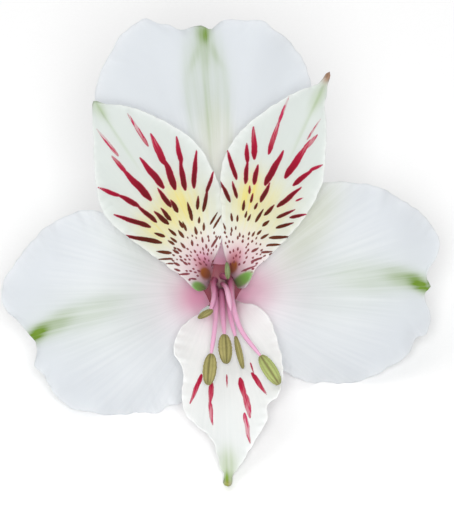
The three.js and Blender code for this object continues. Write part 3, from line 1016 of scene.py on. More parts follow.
TEPALS = (
    Tepal(
        node="outer_tepal_top",
        ring_angle=90,
        heading=94.4,
        right=(
            (-0.1, -1.7), (3.5, -2.6), (8.8, -7.2), (15.7, -13), (22.7, -16.1), (27.9, -16.4),
            (30.8, -15.9), (34.4, -13.9), (35.9, -12.6), (36.9, -11.3), (38.4, -9.6), (38.7, -7.7),
            (38.9, -5.7), (39, -3.2), (38.3, -1.9), (37.7, -1.1), (38.2, 0.5),
        ),
        left=(
            (0.1, 1.7), (3.7, 2.6), (8.2, 6.8), (12.7, 12.6), (19.6, 17.4), (27.5, 18.4), (30, 18),
            (33.3, 16.6), (35.7, 14.9), (37.5, 13.9), (38.8, 12.3), (39.8, 10.5), (40.3, 9.2),
            (39.5, 7.4), (38.8, 5.5), (38, 3.7), (38.3, 2.2), (38.2, 0.5),
        ),
        midrib=(
            (0, -16.55), (1.4, -13.4), (3.4, -10.2), (7, -7), (13, -4.4), (22, -2.8), (32, -3),
            (41, -4.6),
        ),
        curl=(-0.5, -0.5),
        ruffle=Ruffle(5, 0.7, 0.6),
        patches=(
            Patch(G, 37.3, 0.1, 1.5, 1, 0.7),
            Patch(G, 34.8, 0.1, 3.2, 1.6, 0.18),
            Patch(G, 29, 0.3, 9, 3.8, 0.13, 0, 2),
            Patch(G, 28.5, 0.4, 10.5, 0.45, 0.19),
            Patch(G, 27, -2.8, 8, 0.5, 0.08),
            Patch(G, 27, 3.4, 8, 0.5, 0.08),
            Patch(G, 34, -1.3, 3.2, 0.6, 0.12, 26),
            Patch(G, 34, 1.5, 3.2, 0.6, 0.12, -26),
            Patch(Y, 19.5, -0.6, 6.5, 3.2, 0.09, 0, 2),
            Patch(BL, 0, 0, 1.4, 2.5, 0.45),
            Patch(BL, 1.5, 0, 5.5, 3.5, 0.38),
        ),
        seed=11,
        **OUTER,
    ),
    Tepal(
        node="outer_tepal_left",
        ring_angle=210,
        heading=193.1,
        right=(
            (0.5, -1.6), (1.5, -2.7), (6.8, -8.9), (10.9, -14), (13.6, -16.9), (15.5, -17.6),
            (19.5, -17.2), (22.4, -16.3), (25, -14.7), (27.3, -12.9), (29.5, -10.9), (30.9, -9.5),
            (31.9, -6.7), (31.6, -4.7), (30.4, -3), (29.4, -1.2), (28.3, 0.3),
        ),
        left=(
            (-0.5, 1.6), (1.5, 2.7), (2.5, 6.5), (4.6, 11.5), (7.5, 16.1), (9.8, 16.2),
            (11.7, 16.9), (13.6, 16.4), (16.5, 16), (19.5, 15.4), (22.8, 14), (25.1, 12.9),
            (26.4, 11.4), (27.6, 8.7), (28.1, 6.8), (29.1, 5.2), (28.5, 3.3), (28, 1.3),
            (28.3, 0.3),
        ),
        midrib=(
            (0, -16.55), (1.4, -13.4), (3.4, -10), (6.5, -6.8), (12, -3.8), (18, -2.4), (25, -2.4),
            (32, -3.8),
        ),
        curl=(-0.5, -1.2),
        ruffle=Ruffle(5, 0.7, 2.1),
        patches=(
            Patch(G, 27.8, 0.1, 1.9, 0.95, 1.2, 23, 1.1),
            Patch(G, 24.6, -0.7, 3.3, 1.5, 0.3, 20),
            Patch(G, 19, -1.3, 6.5, 2.2, 0.13, 8),
            Patch(G, 16, -0.6, 13, 6, 0.055),
            # painted shade: the greenish shadow that the inner tepal beside it casts here
            Patch(G, 8.5, -8.5, 8, 2.6, 0.06, -46),
            Patch(BL, 0, 0, 4.1, 3.2, 0.8),
            Patch(BL, 0, 0, 8.5, 6.5, 0.13),
        ),
        seed=23,
        **OUTER,
    ),
    Tepal(
        node="outer_tepal_right",
        ring_angle=330,
        heading=2.1,
        right=(
            (-0.9, -1.4), (1.6, -2.5), (2.8, -8.3), (5, -11.7), (7.9, -13.3), (9.6, -14.3),
            (11.6, -14.7), (13.6, -14.6), (15.6, -15), (18.6, -14.7), (20.5, -14.1), (23.2, -12.8),
            (24.9, -11.9), (26.6, -10.8), (27.6, -9.1), (28.2, -8), (29.7, -7.5), (30.6, -4.7),
            (29.8, -2.1), (29.7, -0.8), (30.5, 0.2),
        ),
        left=(
            (0.9, 1.4), (1.5, 2.4), (3.6, 5.1), (6.8, 11), (10.2, 15.7), (14, 17.5), (19, 17.3),
            (22, 16.8), (24.7, 15.6), (27.1, 13.9), (29.6, 12.2), (31.1, 10.2), (32.4, 7.9),
            (32, 5.1), (30.8, 3.4), (30.1, 1.6), (30.5, 0.2),
        ),
        midrib=(
            (0, -16.55), (1.4, -13.4), (3.4, -10), (6.5, -6.8), (12, -3.8), (18, -2.6), (25, -2.8),
            (32, -4.4),
        ),
        curl=(-2.58, -0.5),
        ruffle=Ruffle(5, 0.7, 4.2),
        patches=(
            Patch(G, 29.4, 0.4, 2, 0.95, 1.2, -28, 1.1),
            Patch(G, 26.6, 1.7, 3.2, 1.5, 0.33, -15),
            Patch(G, 21.5, 1.9, 6.5, 2.4, 0.14, -6),
            Patch(G, 16, 1.2, 13, 6, 0.055),
            # painted shade: the greenish-yellow shadow that the inner tepal beside it casts here,
            # in these two patches
            Patch(G, 11.5, 11.2, 8.5, 3.6, 0.09, 58),
            Patch(Y, 11.5, 11.2, 8.5, 3.6, 0.08, 58),
            Patch(BL, -0.3, -0.2, 1.8, 1.6, 0.35),
            Patch(BL, 1, 0.7, 4.2, 3.5, 0.41),
            Patch(BL, 0, 0, 9, 6.5, 0.13),
        ),
        seed=37,
        **OUTER,
    ),
    Tepal(
        node="inner_tepal_left",
        ring_angle=150,
        heading=123.2,
        right=(
            (0.9, -1.1), (1.7, -1.8), (3.83, -4.81), (6.99, -7.33), (10.07, -9), (13.8, -9.8),
            (19.2, -10), (25.1, -7.5), (30, -4.1), (32.3, -1.3), (33.5, 0.1),
        ),
        left=(
            (-1.3, 1.35), (-1, 2.6), (-0.1, 3.1), (1.6, 3.4), (5.3, 4.7), (10.9, 6.8), (15.4, 8.3),
            (18.4, 8.5), (22, 7.2), (25.6, 5.3), (29, 3.2), (31.9, 1.5), (33.5, 0.1),
        ),
        midrib=(
            (0, -16.65), (0.5, -12.4), (1.3, -8), (2.8, -4), (5.4, -0.8), (10, 2), (16, 4.4),
            (24, 6.2), (33, 7),
        ),
        curl=(0.4, 0.7),
        ruffle=Ruffle(3, 0.35, 1),
        patches=(
            Patch(G, 32.4, 0, 2.2, 0.9, 0.33),
            Patch(G, 27, 0, 6, 0.35, 0.16),
            Patch(Y, 12, -2.5, 4.2, 3.6, 0.57),
            Patch(Y, 11.5, 3, 3.4, 2.6, 0.4),
            Patch(BL, 2.4, -0.5, 1.8, 1.5, 0.5),
            Patch(BL, 3, 0, 4, 4, 0.32),
            Patch(N, 0.9, 0.45, 1.05, 0.85, 1, 0, 2.5),
            Patch(N, 2.2, 0.1, 1.5, 0.9, 0.38),
            Patch(Y, 10, -1, 8, 8, 0.14),
            Patch(LF, -0.6, 2.45, 1.4, 0.9, 1, 16, 4),
        ),
        streaks=(
            (29.8, 2.1, 24.3, 1.6, 0.45), (29.2, -3.4, 23, -3.3, 0.5), (24.9, 2.5, 21.5, 2, 0.57),
            (22.3, 2.2, 15.6, 1.1, 0.93), (22.1, -1.2, 16.1, -1.7, 0.87),
            (16.5, -0.9, 12.9, -1, 0.67), (24.4, -4.7, 19.1, -4, 0.93),
            (20.1, -4.4, 14.9, -3.2, 0.93), (21.8, -8, 17.7, -6.2, 0.67),
            (18.5, -6.4, 13.9, -4.5, 0.77), (18.2, -9.4, 13.4, -5.8, 0.69),
            (13.8, -9.9, 11.6, -7.1, 0.51), (12.1, -7.7, 9.4, -5, 0.51),
            (21.8, 7.1, 18.7, 4.9, 0.57), (19.2, 5.2, 15.8, 3.3, 0.72),
            (16.2, 3.5, 12.1, 2.3, 0.62), (16.8, 7.4, 12, 3.6, 0.67), (13.2, 8, 8.9, 3.5, 0.62),
            (13.6, 0.5, 11.1, 0.2, 0.57), (13.7, 1.7, 10.8, 0.9, 0.62),
            (13.8, -1.6, 11.6, -1.5, 0.62), (12, -3.7, 9.2, -2.7, 0.51),
            (11.9, -5.7, 10.2, -4.4, 0.46), (9, -4, 8.2, -3.4, 0.36), (10.3, -0.9, 9, -0.8, 0.41),
            (9.8, -1.3, 8.3, -1, 0.36), (10.1, 1.3, 8.6, 0.9, 0.41), (9.1, 0.1, 7.7, 0, 0.46),
            (10.8, 3.6, 9.4, 2.5, 0.46), (8.1, -2.5, 6.9, -2.1, 0.41), (7.8, -4.1, 6.8, -3.4, 0.36),
            (8, -6.9, 7, -4.8, 0.31), (7.3, -7.3, 6.2, -4.9, 0.31), (8.8, 1.8, 7.6, 1.4, 0.36),
            (8.6, 2.4, 7.5, 1.9, 0.36), (7.2, 0.9, 6.1, 0.8, 0.36), (6.6, -0.9, 5.8, -0.5, 0.36),
            (6.1, -2.6, 5.3, -2.2, 0.31), (4.8, -2.5, 4.2, -2.2, 0.31), (4.7, -5, 3.9, -3, 0.33),
            (8.1, 4.9, 6.6, 3.1, 0.46), (6.9, 2.6, 5.9, 2.1, 0.36), (6.8, 1.9, 5.9, 1.6, 0.31),
            (7, 5.6, 5.7, 3.4, 0.28), (5.7, 4.9, 4.9, 3.6, 0.23), (5.1, 3.6, 4.2, 3.1, 0.36),
            (4.5, 2.3, 3.6, 2, 0.31), (4.2, 4.1, 3.4, 3.5, 0.31), (3.1, 4.1, 2.2, 2.5, 0.31),
            (1.6, 2.9, 0.9, 2.1, 0.26),
        ),
        specks=70,
        seed=51,
        **INNER,
    ),
    Tepal(
        node="inner_tepal_right",
        ring_angle=30,
        heading=65.2,
        right=(
            (-1.4, -1.3), (-0.8, -2.2), (0.4, -2.4), (2.2, -2.4), (6.6, -4.1), (12.3, -5.9),
            (16.5, -6.5), (20.1, -6.3), (24.8, -4.6), (28.5, -3), (30.4, -1.8), (33.9, -0.7),
            (36, 0),
        ),
        left=(
            (0.7, 1.3), (1.6, 2.1), (4.2, 4.1), (8.1, 6), (11.7, 7.9), (16.3, 9.5), (21.4, 9),
            (26.3, 6.7), (31.3, 3.3), (33.7, 0.9), (36, 0),
        ),
        midrib=(
            (0, -16.65), (0.5, -12.4), (1.3, -8), (2.8, -4), (5.4, -0.7), (10, 2.2), (16, 4.8),
            (24, 7.1), (35.4, 8.6),
        ),
        curl=(0.7, 0.4),
        ruffle=Ruffle(3, 0.35, 3.4),
        patches=(
            Patch(G, 32, 0, 2.6, 1, 0.32),
            Patch(N, 35.6, 0, 1.2, 0.8, 0.75),
            Patch(G, 27, 0, 6, 0.35, 0.17),
            Patch(Y, 13.5, 3.5, 3.6, 2.1, 0.42),
            Patch(Y, 12, 1, 4.5, 4.5, 0.33),
            Patch(BL, 2.6, 1.3, 1.8, 1.3, 0.5),
            Patch(BL, 3, 0, 4, 4, 0.32),
            Patch(N, 1.4, 0.75, 1.1, 0.8, 1, 0, 2.5),
            Patch(N, 2.8, 1.3, 1.6, 1, 0.42),
            Patch(Y, 10, 1, 8, 8, 0.14),
            Patch(LF, 0.2, -1.45, 2, 0.9, 1, -28, 4),
        ),
        streaks=(
            (29.9, 4.3, 25.3, 4, 0.41), (26.1, 4.1, 20.3, 3.4, 0.67), (23.2, 7.4, 18.6, 5.1, 0.77),
            (20.3, 7.3, 17.6, 5.9, 0.62), (17.9, 6, 14.4, 4.8, 0.62), (18, 9.7, 14.4, 6.4, 0.62),
            (18, 4.2, 14.9, 3.5, 0.67), (21.7, 1.4, 15.6, 1.8, 0.87), (16.1, 1.2, 12.8, 1.3, 0.62),
            (29, -1.9, 24.9, -1.3, 0.26), (26.3, -2.5, 23.3, -1.5, 0.62),
            (24.6, -1.8, 18, -0.7, 0.93), (22.3, -5.3, 20.6, -3.8, 0.46),
            (21.1, -4.2, 17.4, -2.4, 0.67), (17.6, -3.7, 13.2, -1.6, 0.67),
            (16.2, -4.7, 15.2, -3.8, 0.26), (13.2, -1, 11.1, -0.2, 0.51),
            (13.9, -4.3, 11.5, -2.2, 0.46), (14, -6.3, 12.4, -4.1, 0.46),
            (11.9, -5, 10, -2.8, 0.46), (10.6, -1.3, 9.4, -0.7, 0.46), (9.6, -5.4, 8.1, -2.5, 0.46),
            (7.9, -4.8, 6.9, -2.7, 0.36), (6.3, -3.9, 5.4, -2.3, 0.31),
            (4.8, -2.8, 3.4, -1.5, 0.31), (13.3, 9.1, 10.7, 5.8, 0.51),
            (13.8, 6.8, 11.7, 5.1, 0.51), (14.4, 4, 13.2, 3.5, 0.36), (13.5, 3, 12, 2.7, 0.36),
            (11.9, 3.8, 10.3, 3.3, 0.41), (12.4, 1.7, 11.3, 1.7, 0.36), (11.9, 0.4, 9.5, 0.7, 0.41),
            (9.1, 4.9, 8, 4.2, 0.36), (9.3, 3.8, 8.3, 3.4, 0.31), (10.5, 2.7, 9.4, 2.5, 0.31),
            (10.3, 1.9, 9.1, 1.9, 0.31), (8.7, -0.8, 7.8, -0.5, 0.36), (8.1, 0.1, 7.2, 0.2, 0.31),
            (7.7, 0.9, 7.1, 0.8, 0.26), (8.6, -2.1, 7.4, -1.3, 0.36), (6.9, 2.3, 6.3, 2, 0.26),
            (7.1, 5.4, 6.3, 4.6, 0.26), (7.6, 3.3, 7, 3.1, 0.23), (7.1, 3.9, 6.4, 3.5, 0.26),
            (6.7, -0.2, 6.3, -0.2, 0.31), (5.9, -1.6, 4.9, -0.9, 0.36),
            (3.2, -2.5, 1.4, -0.8, 0.26),
        ),
        specks=70,
        seed=67,
        **INNER,
    ),
    Tepal(
        node="inner_tepal_lower",
        ring_angle=270,
        heading=271.8,
        right=(
            (0, -1.5), (1.6, -2), (2.7, -4.4), (4.5, -6.7), (8.1, -8), (11.2, -6.6), (15.6, -6.9),
            (18.2, -6.4), (20.2, -4.6), (22.3, -2.4), (25.1, -1.5), (27, -1.1), (28.1, -0.5),
            (29.6, -0.4), (29.8, 0),
        ),
        left=(
            (0, 1.5), (0.8, 3.1), (1.4, 5.6), (3.6, 7.6), (6.8, 8.6), (9.3, 9.2), (12.1, 9.4),
            (14, 9.1), (15.9, 8.4), (17.3, 6.7), (19.4, 6.7), (20.7, 6), (23.3, 4.3), (26.6, 2.2),
            (28.3, 0.8), (29.6, 0.4), (29.8, 0),
        ),
        midrib=(
            (0, -16.65), (0.6, -12.6), (1.6, -8.4), (3.4, -4.6), (6, -1.4), (9, 0.8), (13, 3.6),
            (18, 6.8), (24, 10.4), (30.2, 14),
        ),
        curl=(3.2, 3.2),
        ruffle=Ruffle(3, 0.3, 0.4),
        patches=(
            Patch(G, 29.4, 0, 1.5, 0.9, 0.7),
            Patch(N, 29.9, 0, 0.6, 0.8, 0.3),
            Patch(G, 27, 0.1, 2.9, 1.6, 0.4),
            Patch(BL, 1.5, 0, 3.4, 3, 0.55),
        ),
        streaks=(
            (16.7, -5.7, 12.2, -3.7, 0.6), (17, -2.5, 13.6, -2.1, 0.68),
            (20.3, -2.2, 16.5, -2.5, 0.55), (14.4, 0.4, 12.3, 0.4, 0.22),
            (16.9, 3.4, 13, 2.5, 0.78), (19.3, 4, 15.6, 3.3, 0.85), (23.4, 3.8, 18.6, 3.1, 0.6),
            (15.6, 6.7, 12.2, 4.5, 0.62), (12.2, 4.8, 10.5, 4.3, 0.22),
        ),
        tone=0.21,
        seed=83,
        **INNER,
    ),
)


# ---------------------------------------------------------------- threads: filaments, style, stalk
def rod_tree() -> bpy.types.NodeTree:
    """A node group that turns a curve into a ribbed rod, as thick as the curve's radius says.

    Returns:
        The geometry node tree.
    """
    sizes = {"Rib Depth": "Float", "Sides": "Int", "Ribs": "Int"}
    tree, add = new_group("ribbed_rod", {**sizes, "Material": "Material"})
    given = add("NodeGroupInput").node.outputs
    ring = {"Resolution": given["Sides"], "Radius": 1.0}
    circle = add("GeometryNodeCurvePrimitiveCircle", ring)
    share = add("GeometryNodeSplineParameter", output="Factor")
    turn = add("ShaderNodeMath", {0: share, 1: given["Ribs"]}, operation="MULTIPLY")
    angle = add("ShaderNodeMath", {0: turn, 1: 2 * math.pi}, operation="MULTIPLY")
    wave = add("ShaderNodeMath", {0: angle}, operation="COSINE")
    ribs = {0: wave, 1: given["Rib Depth"], 2: 1.0}
    swell = add("ShaderNodeMath", ribs, operation="MULTIPLY_ADD")
    place = add("GeometryNodeInputPosition")
    ribbed = add("ShaderNodeVectorMath", {0: place, "Scale": swell}, operation="SCALE")
    profile = add("GeometryNodeSetPosition", {"Geometry": circle, "Position": ribbed})
    run = {"Curve": given["Geometry"], "Scale": add("GeometryNodeInputRadius")}
    rod = add("GeometryNodeCurveToMesh", {**run, "Profile Curve": profile, "Fill Caps": True})
    solid = add("GeometryNodeRealizeInstances", {"Geometry": rod})
    coat = {"Geometry": solid, "Material": given["Material"]}
    add("NodeGroupOutput", {"Geometry": add("GeometryNodeSetMaterial", coat)})
    return tree


def through_nodes(
    name: str, data: bpy.types.ID, tree: bpy.types.NodeTree, values: dict[str, object]
) -> bpy.types.Object:
    """Runs an object's data through a node group and keeps the result as a plain mesh.

    Args:
        name: the finished object's name.
        data: a mesh or a curve.
        tree: the geometry node tree.
        values: the tree's inputs, by name.

    Returns:
        The finished object, smooth-shaded, with no modifier on it.
    """
    source = put(name + "_source", data)
    modifier = source.modifiers.new("shape", "NODES")
    modifier.node_group = tree
    for item in tree.interface.items_tree:
        if item.in_out == "INPUT" and item.name in values:
            modifier[item.identifier] = values[item.name]
    ready = source.evaluated_get(bpy.context.evaluated_depsgraph_get())
    mesh = bpy.data.meshes.new_from_object(ready)
    mesh.name = name
    bpy.data.objects.remove(source)
    mesh.polygons.foreach_set("use_smooth", [True] * len(mesh.polygons))
    return put(name, mesh)


@dataclass(frozen=True)
class Thread:
    """A rod along a smooth path in metres: a filament, the style or the stalk.

    `radius` is its radius in mm along its length, as (share, radius) pairs.
    """

    node: str
    slot: str
    radius: Sequence[Pair]
    ribs: int = 0
    rib_depth: float = 0.0
    steps: int = 90
    sides: int = 24

    CROWDING = 1.5  # of the steps, towards the rod's end

    def build(
        self, path: np.ndarray, tree: bpy.types.NodeTree, material: bpy.types.Material
    ) -> bpy.types.Object:
        """Builds the rod.

        Args:
            path: what it runs through, in metres.
            tree: the rod's node group.
            material: what it is made of.

        Returns:
            The finished piece.
        """
        shares = 1 - (1 - np.linspace(0, 1, self.steps)) ** self.CROWDING
        run = evenly(path, shares)
        curve = bpy.data.curves.new(self.node, "CURVE")
        curve.dimensions = "3D"
        spline = curve.splines.new("POLY")
        spline.points.add(len(run) - 1)
        spline.points.foreach_set("co", np.hstack([run, np.ones((len(run), 1))]).ravel())
        spline.points.foreach_set("radius", height_on(self.radius, shares) * MM)
        inputs = {"Rib Depth": self.rib_depth, "Sides": self.sides, "Ribs": self.ribs}
        inputs["Material"] = material
        piece = through_nodes(f"{self.node}_rod", curve, tree, inputs)
        return settle(piece, self.node)


# ---------------------------------------------------------------- stamens
@dataclass(frozen=True)
class Stamen:
    """A filament and its anther, in the bloom's frame.

    `by` is what the filament bends through, `anther` the anther's two ends, `turn` rolls the
    anther about its own length, from its broad side at 0 to its edge at 90, and `plump` is the
    share of its breadth that it has kept.
    """

    number: int
    ring_angle: float
    by: Sequence[Triple]
    anther: tuple[Triple, Triple]
    turn: float
    plump: float = 1.0

    RING = 1.3  # from the bloom's axis to the filament's foot
    FOOT = -17.5  # its depth, inside the ovary
    SEAT = 0.3  # how far the filament reaches into the anther
    THICKNESS = ((0, 0.6), (0.3, 0.52), (0.7, 0.42), (0.9, 0.36), (0.97, 0.26), (1, 0.12))
    WIDTH = 2.4  # of the anther
    DEPTH = 1.4
    BOW = 0.2  # how far its middle bows outward
    BLUNTNESS = 0.42  # of its ends: nearer 0 is blunter
    END_SIZE = 0.08  # the breadth of its very ends, as a share
    # its folds: the groove between the lobes, the furrow along each, the slits at the sides
    FOLD_DEPTHS = (0.36, 0.09, 0.10)
    FOLD_WIDTHS = (0.17, 0.09, 0.2)
    FOLD_SHADES = (0.95, 0.55, 0.8)  # how much painted shade darkens each
    FURROW_AT = 0.6  # share of the way from the groove to the side
    END_SHADE = (0.5, 1.25, 6)  # how much painted shade darkens its ends, how far in, and how fast that fades
    PUCKER = (0.025, 5, 14, 0.07)  # its skin's waves: height, fewest and most, and slant
    SIDES = 72
    STEPS = 60
    GRAIN_MM = 0.035  # a pollen grain's radius
    GRAINS_PER_MM2 = 20

    def axis(self) -> tuple[np.ndarray, np.ndarray, float]:
        """The anther's near end, the way that it points, and its length."""
        start, end = (np.array(p) for p in self.anther)
        length = np.linalg.norm(end - start)
        return start, (end - start) / length, length

    def filament_path(self) -> np.ndarray:
        """The filament's path, from inside the ovary to just inside the anther, in metres."""
        angle = math.radians(self.ring_angle)
        foot = (self.RING * math.cos(angle), self.RING * math.sin(angle), self.FOOT)
        start, along, _ = self.axis()
        return LAY.place(np.array([foot, *self.by, start + along * self.SEAT]))

    def section(
        self, t: np.ndarray, angle: np.ndarray
    ) -> tuple[np.ndarray, np.ndarray, np.ndarray]:
        """The anther's cross-section: two lobes, each with a slit and a shallow furrow.

        Args:
            t: shares of its length.
            angle: ways round it.

        Returns:
            How far its skin stands from its axis across its breadth and through its depth, in
            mm, and how much painted shade darkens it in its folds and at its ends, from 0 to 1.
        """
        rounded = np.sin(math.pi * np.clip(t, 0, 1)) ** self.BLUNTNESS
        x, y = np.cos(angle), np.sin(angle)
        height, fewest, most, slant = self.PUCKER
        pucker = 1 + height * ripple(t + slant * x, fewest, most, self.number)
        full = self.plump * (self.END_SIZE + (1 - self.END_SIZE) * rounded) * pucker
        folds = list(map(bell, (x, np.abs(x) - self.FURROW_AT, y), self.FOLD_WIDTHS))
        groove, furrow, slit = (depth * fold for depth, fold in zip(self.FOLD_DEPTHS, folds))
        wide = full * (1 - slit) * self.WIDTH / 2 * x
        deep = full * (1 - groove - furrow) * self.DEPTH / 2 * y
        # painted shade: darker in the groove, furrows and slits, and towards the ends
        tone, full_at, fading = self.END_SHADE
        ends = tone * np.clip(full_at - fading * np.minimum(t, 1 - t), 0, 1)
        dark = sum(share * fold for share, fold in zip(self.FOLD_SHADES, folds))
        return wide, deep, np.clip(np.clip(dark, 0, 1) + ends, 0, 1)

    def build_anther(
        self, wall: bpy.types.Material, pollen: bpy.types.Material, dusting: bpy.types.NodeTree
    ) -> bpy.types.Object:
        """Builds the anther: two lobes side by side, dusted with pollen.

        Args:
            wall: the material of its wall.
            pollen: the material of the grains.
            dusting: the node group that scatters them.

        Returns:
            The finished piece.
        """
        start, along, length = self.axis()
        aside = np.cross((0, 0, 1), along)
        aside /= np.linalg.norm(aside)
        outward = np.cross(along, aside)
        t = (1 - np.cos(np.linspace(0, math.pi, self.STEPS)))[:, None] / 2
        angle = np.linspace(0, 2 * math.pi, self.SIDES, endpoint=False)[None]
        wide, deep, folds = self.section(t, angle)
        cos, sin = math.cos(math.radians(self.turn)), math.sin(math.radians(self.turn))
        x = (wide * cos - deep * sin)[..., None]
        y = (wide * sin + deep * cos + self.BOW * np.sin(math.pi * t))[..., None]
        skin = start + (t * length)[..., None] * along + x * aside + y * outward
        places = LAY.place(skin.reshape(-1, 3))
        faces = tube_faces(self.STEPS, self.SIDES, flipped=False)
        # the anther's painted shade goes into its crease attribute
        lobes = Skin(places, faces, {"crease": folds.ravel()}).build(f"lobes_{self.number}", wall)
        inputs = {
            "Grain": self.GRAIN_MM * MM, "Density": self.GRAINS_PER_MM2 / MM**2,
            "Seed": self.number, "Material": pollen,
        }
        piece = through_nodes(f"anther_{self.number}_lobes", lobes.data, dusting, inputs)
        bpy.data.objects.remove(lobes)
        return settle(piece, f"anther_{self.number}")


def pollen_tree() -> bpy.types.NodeTree:
    """A node group that dusts a mesh with small round grains.

    Returns:
        The geometry node tree.
    """
    sizes = {"Grain": "Float", "Density": "Float", "Seed": "Int"}
    tree, add = new_group("pollen", {**sizes, "Material": "Material"})
    given = add("NodeGroupInput").node.outputs
    wall = {"Mesh": given["Geometry"], "Density": given["Density"], "Seed": given["Seed"]}
    spots = add("GeometryNodeDistributePointsOnFaces", wall)
    ball = {"Radius": given["Grain"], "Subdivisions": 1}
    span = {2: 0.6, 3: 1.3, "Seed": given["Seed"]}
    cloud = {
        "Points": spots,
        "Instance": add("GeometryNodeMeshIcoSphere", ball),
        "Scale": add("FunctionNodeRandomValue", span, 1, data_type="FLOAT"),
    }
    grains = add("GeometryNodeInstanceOnPoints", cloud)
    solid = add("GeometryNodeRealizeInstances", {"Geometry": grains})
    coat = {"Geometry": solid, "Material": given["Material"]}
    dusted = add("GeometryNodeJoinGeometry", {0: given["Geometry"]})
    tree.links.new(add("GeometryNodeSetMaterial", coat), dusted.node.inputs[0])
    add("NodeGroupOutput", {"Geometry": dusted})
    return tree


STAMENS = (
    Stamen(
        1, 210, ((-1.15, -1.25, -9), (-1.0, -4.1, -0.4), (-1.25, -7.8, 4.6)),
        ((-1.75, -11.2, 7.4), (-2.2, -16.2, 9.1)), 25,
    ),
    Stamen(
        2, 270, ((0, -1.55, -9), (0.1, -3.7, -3.4), (0.2, -5.8, 0.4)),
        ((0.4, -8.1, 4.2), (0.65, -12.8, 6.2)), -25,
    ),
    Stamen(
        3, 330, ((1.08, -1.12, -9), (1.15, -3.2, -3.8), (1.45, -5.6, 0)),
        ((2.15, -8.4, 3.4), (3.4, -13.6, 5.6)), 70, 0.68,
    ),
    Stamen(
        4, 30, ((1.45, 0, -9), (1.75, -3.4, -0.4), (3.2, -7.6, 4.6)),
        ((6.2, -11.5, 8.6), (9.2, -16.1, 10.4)), 0,
    ),
    Stamen(
        5, 150, ((-1.4, 0, -9), (-1.3, -2.2, -2)),
        ((-1.7, -4.2, 1.6), (-3.7, -5.5, 5.2)), 60, 0.66,
    ),
    Stamen(6, 90, ((0.4, 1.1, -10.5),), ((1, 0.9, -5.4), (0.75, 3.4, -2.8)), 80, 0.62),
)


# ---------------------------------------------------------------- ovary and stalk
@dataclass(frozen=True)
class Ovary:
    """The ribbed ovary behind the tepals, which narrows into the stalk."""

    top: float = -17.0
    length: float = 8.5
    radius: float = 3.9
    ribs: int = 6
    rib_depth: float = 0.09
    steps: int = 90
    sides: int = 192

    FINE_LINES = (0.006, 30, 60, 7)  # height as a share, fewest and most, and seed
    WANDER = (0.01, 6)  # how far these wander, and how fast
    RIB_SHARPNESS = 3  # nearer 0 is broader
    SUNK = 0.6  # depth of the grooves between the ribs, where a rib's height is 1
    RIBS_END = 1.05  # share of its length at which they have died away
    RIDGE = (0.7, 0.15)  # how much of their colour the ridges have, and where that is full
    PROFILE = (  # its radius down its length, from the dome on its top, as shares
        (-0.13, 0.2), (-0.1, 0.5), (-0.05, 0.78), (0, 0.94), (0.12, 1), (0.35, 0.95), (0.65, 0.7),
        (0.88, 0.43), (1, 0.33),
    )

    def build(self, material: bpy.types.Material) -> bpy.types.Object:
        """Builds the ovary, with a narrow ridge on each of its ribs.

        Args:
            material: what it is made of.

        Returns:
            The finished piece.
        """
        t = np.linspace(self.PROFILE[0][0], 1, self.steps)[:, None]
        angle = np.linspace(0, 2 * math.pi, self.sides, endpoint=False)[None]
        rib = np.abs(np.cos(self.ribs * angle / 2)) ** self.RIB_SHARPNESS
        relief = (1 + self.SUNK) * rib - self.SUNK
        lobes = 1 + self.rib_depth * relief * np.clip(self.RIBS_END - t, 0, 1)
        height, fewest, most, seed = self.FINE_LINES
        wander = self.WANDER[0] * np.sin(self.WANDER[1] * t)
        fine = 1 + height * ripple(angle / (2 * math.pi) + wander, fewest, most, seed)
        radius = self.radius * height_on(self.PROFILE, t) * lobes * fine
        depth = np.broadcast_to(self.top - t * self.length, radius.shape)
        points = np.stack([radius * np.cos(angle), radius * np.sin(angle), depth], axis=-1)
        amount, full = self.RIDGE
        ridge = (amount * rib**2 * np.clip(t / full, 0, 1)).ravel()
        faces = tube_faces(self.steps, self.sides, flipped=True)
        skin = Skin(LAY.place(points.reshape(-1, 3)), faces, {"ridge": ridge})
        return settle(skin.build("ovary_body", material), "ovary")


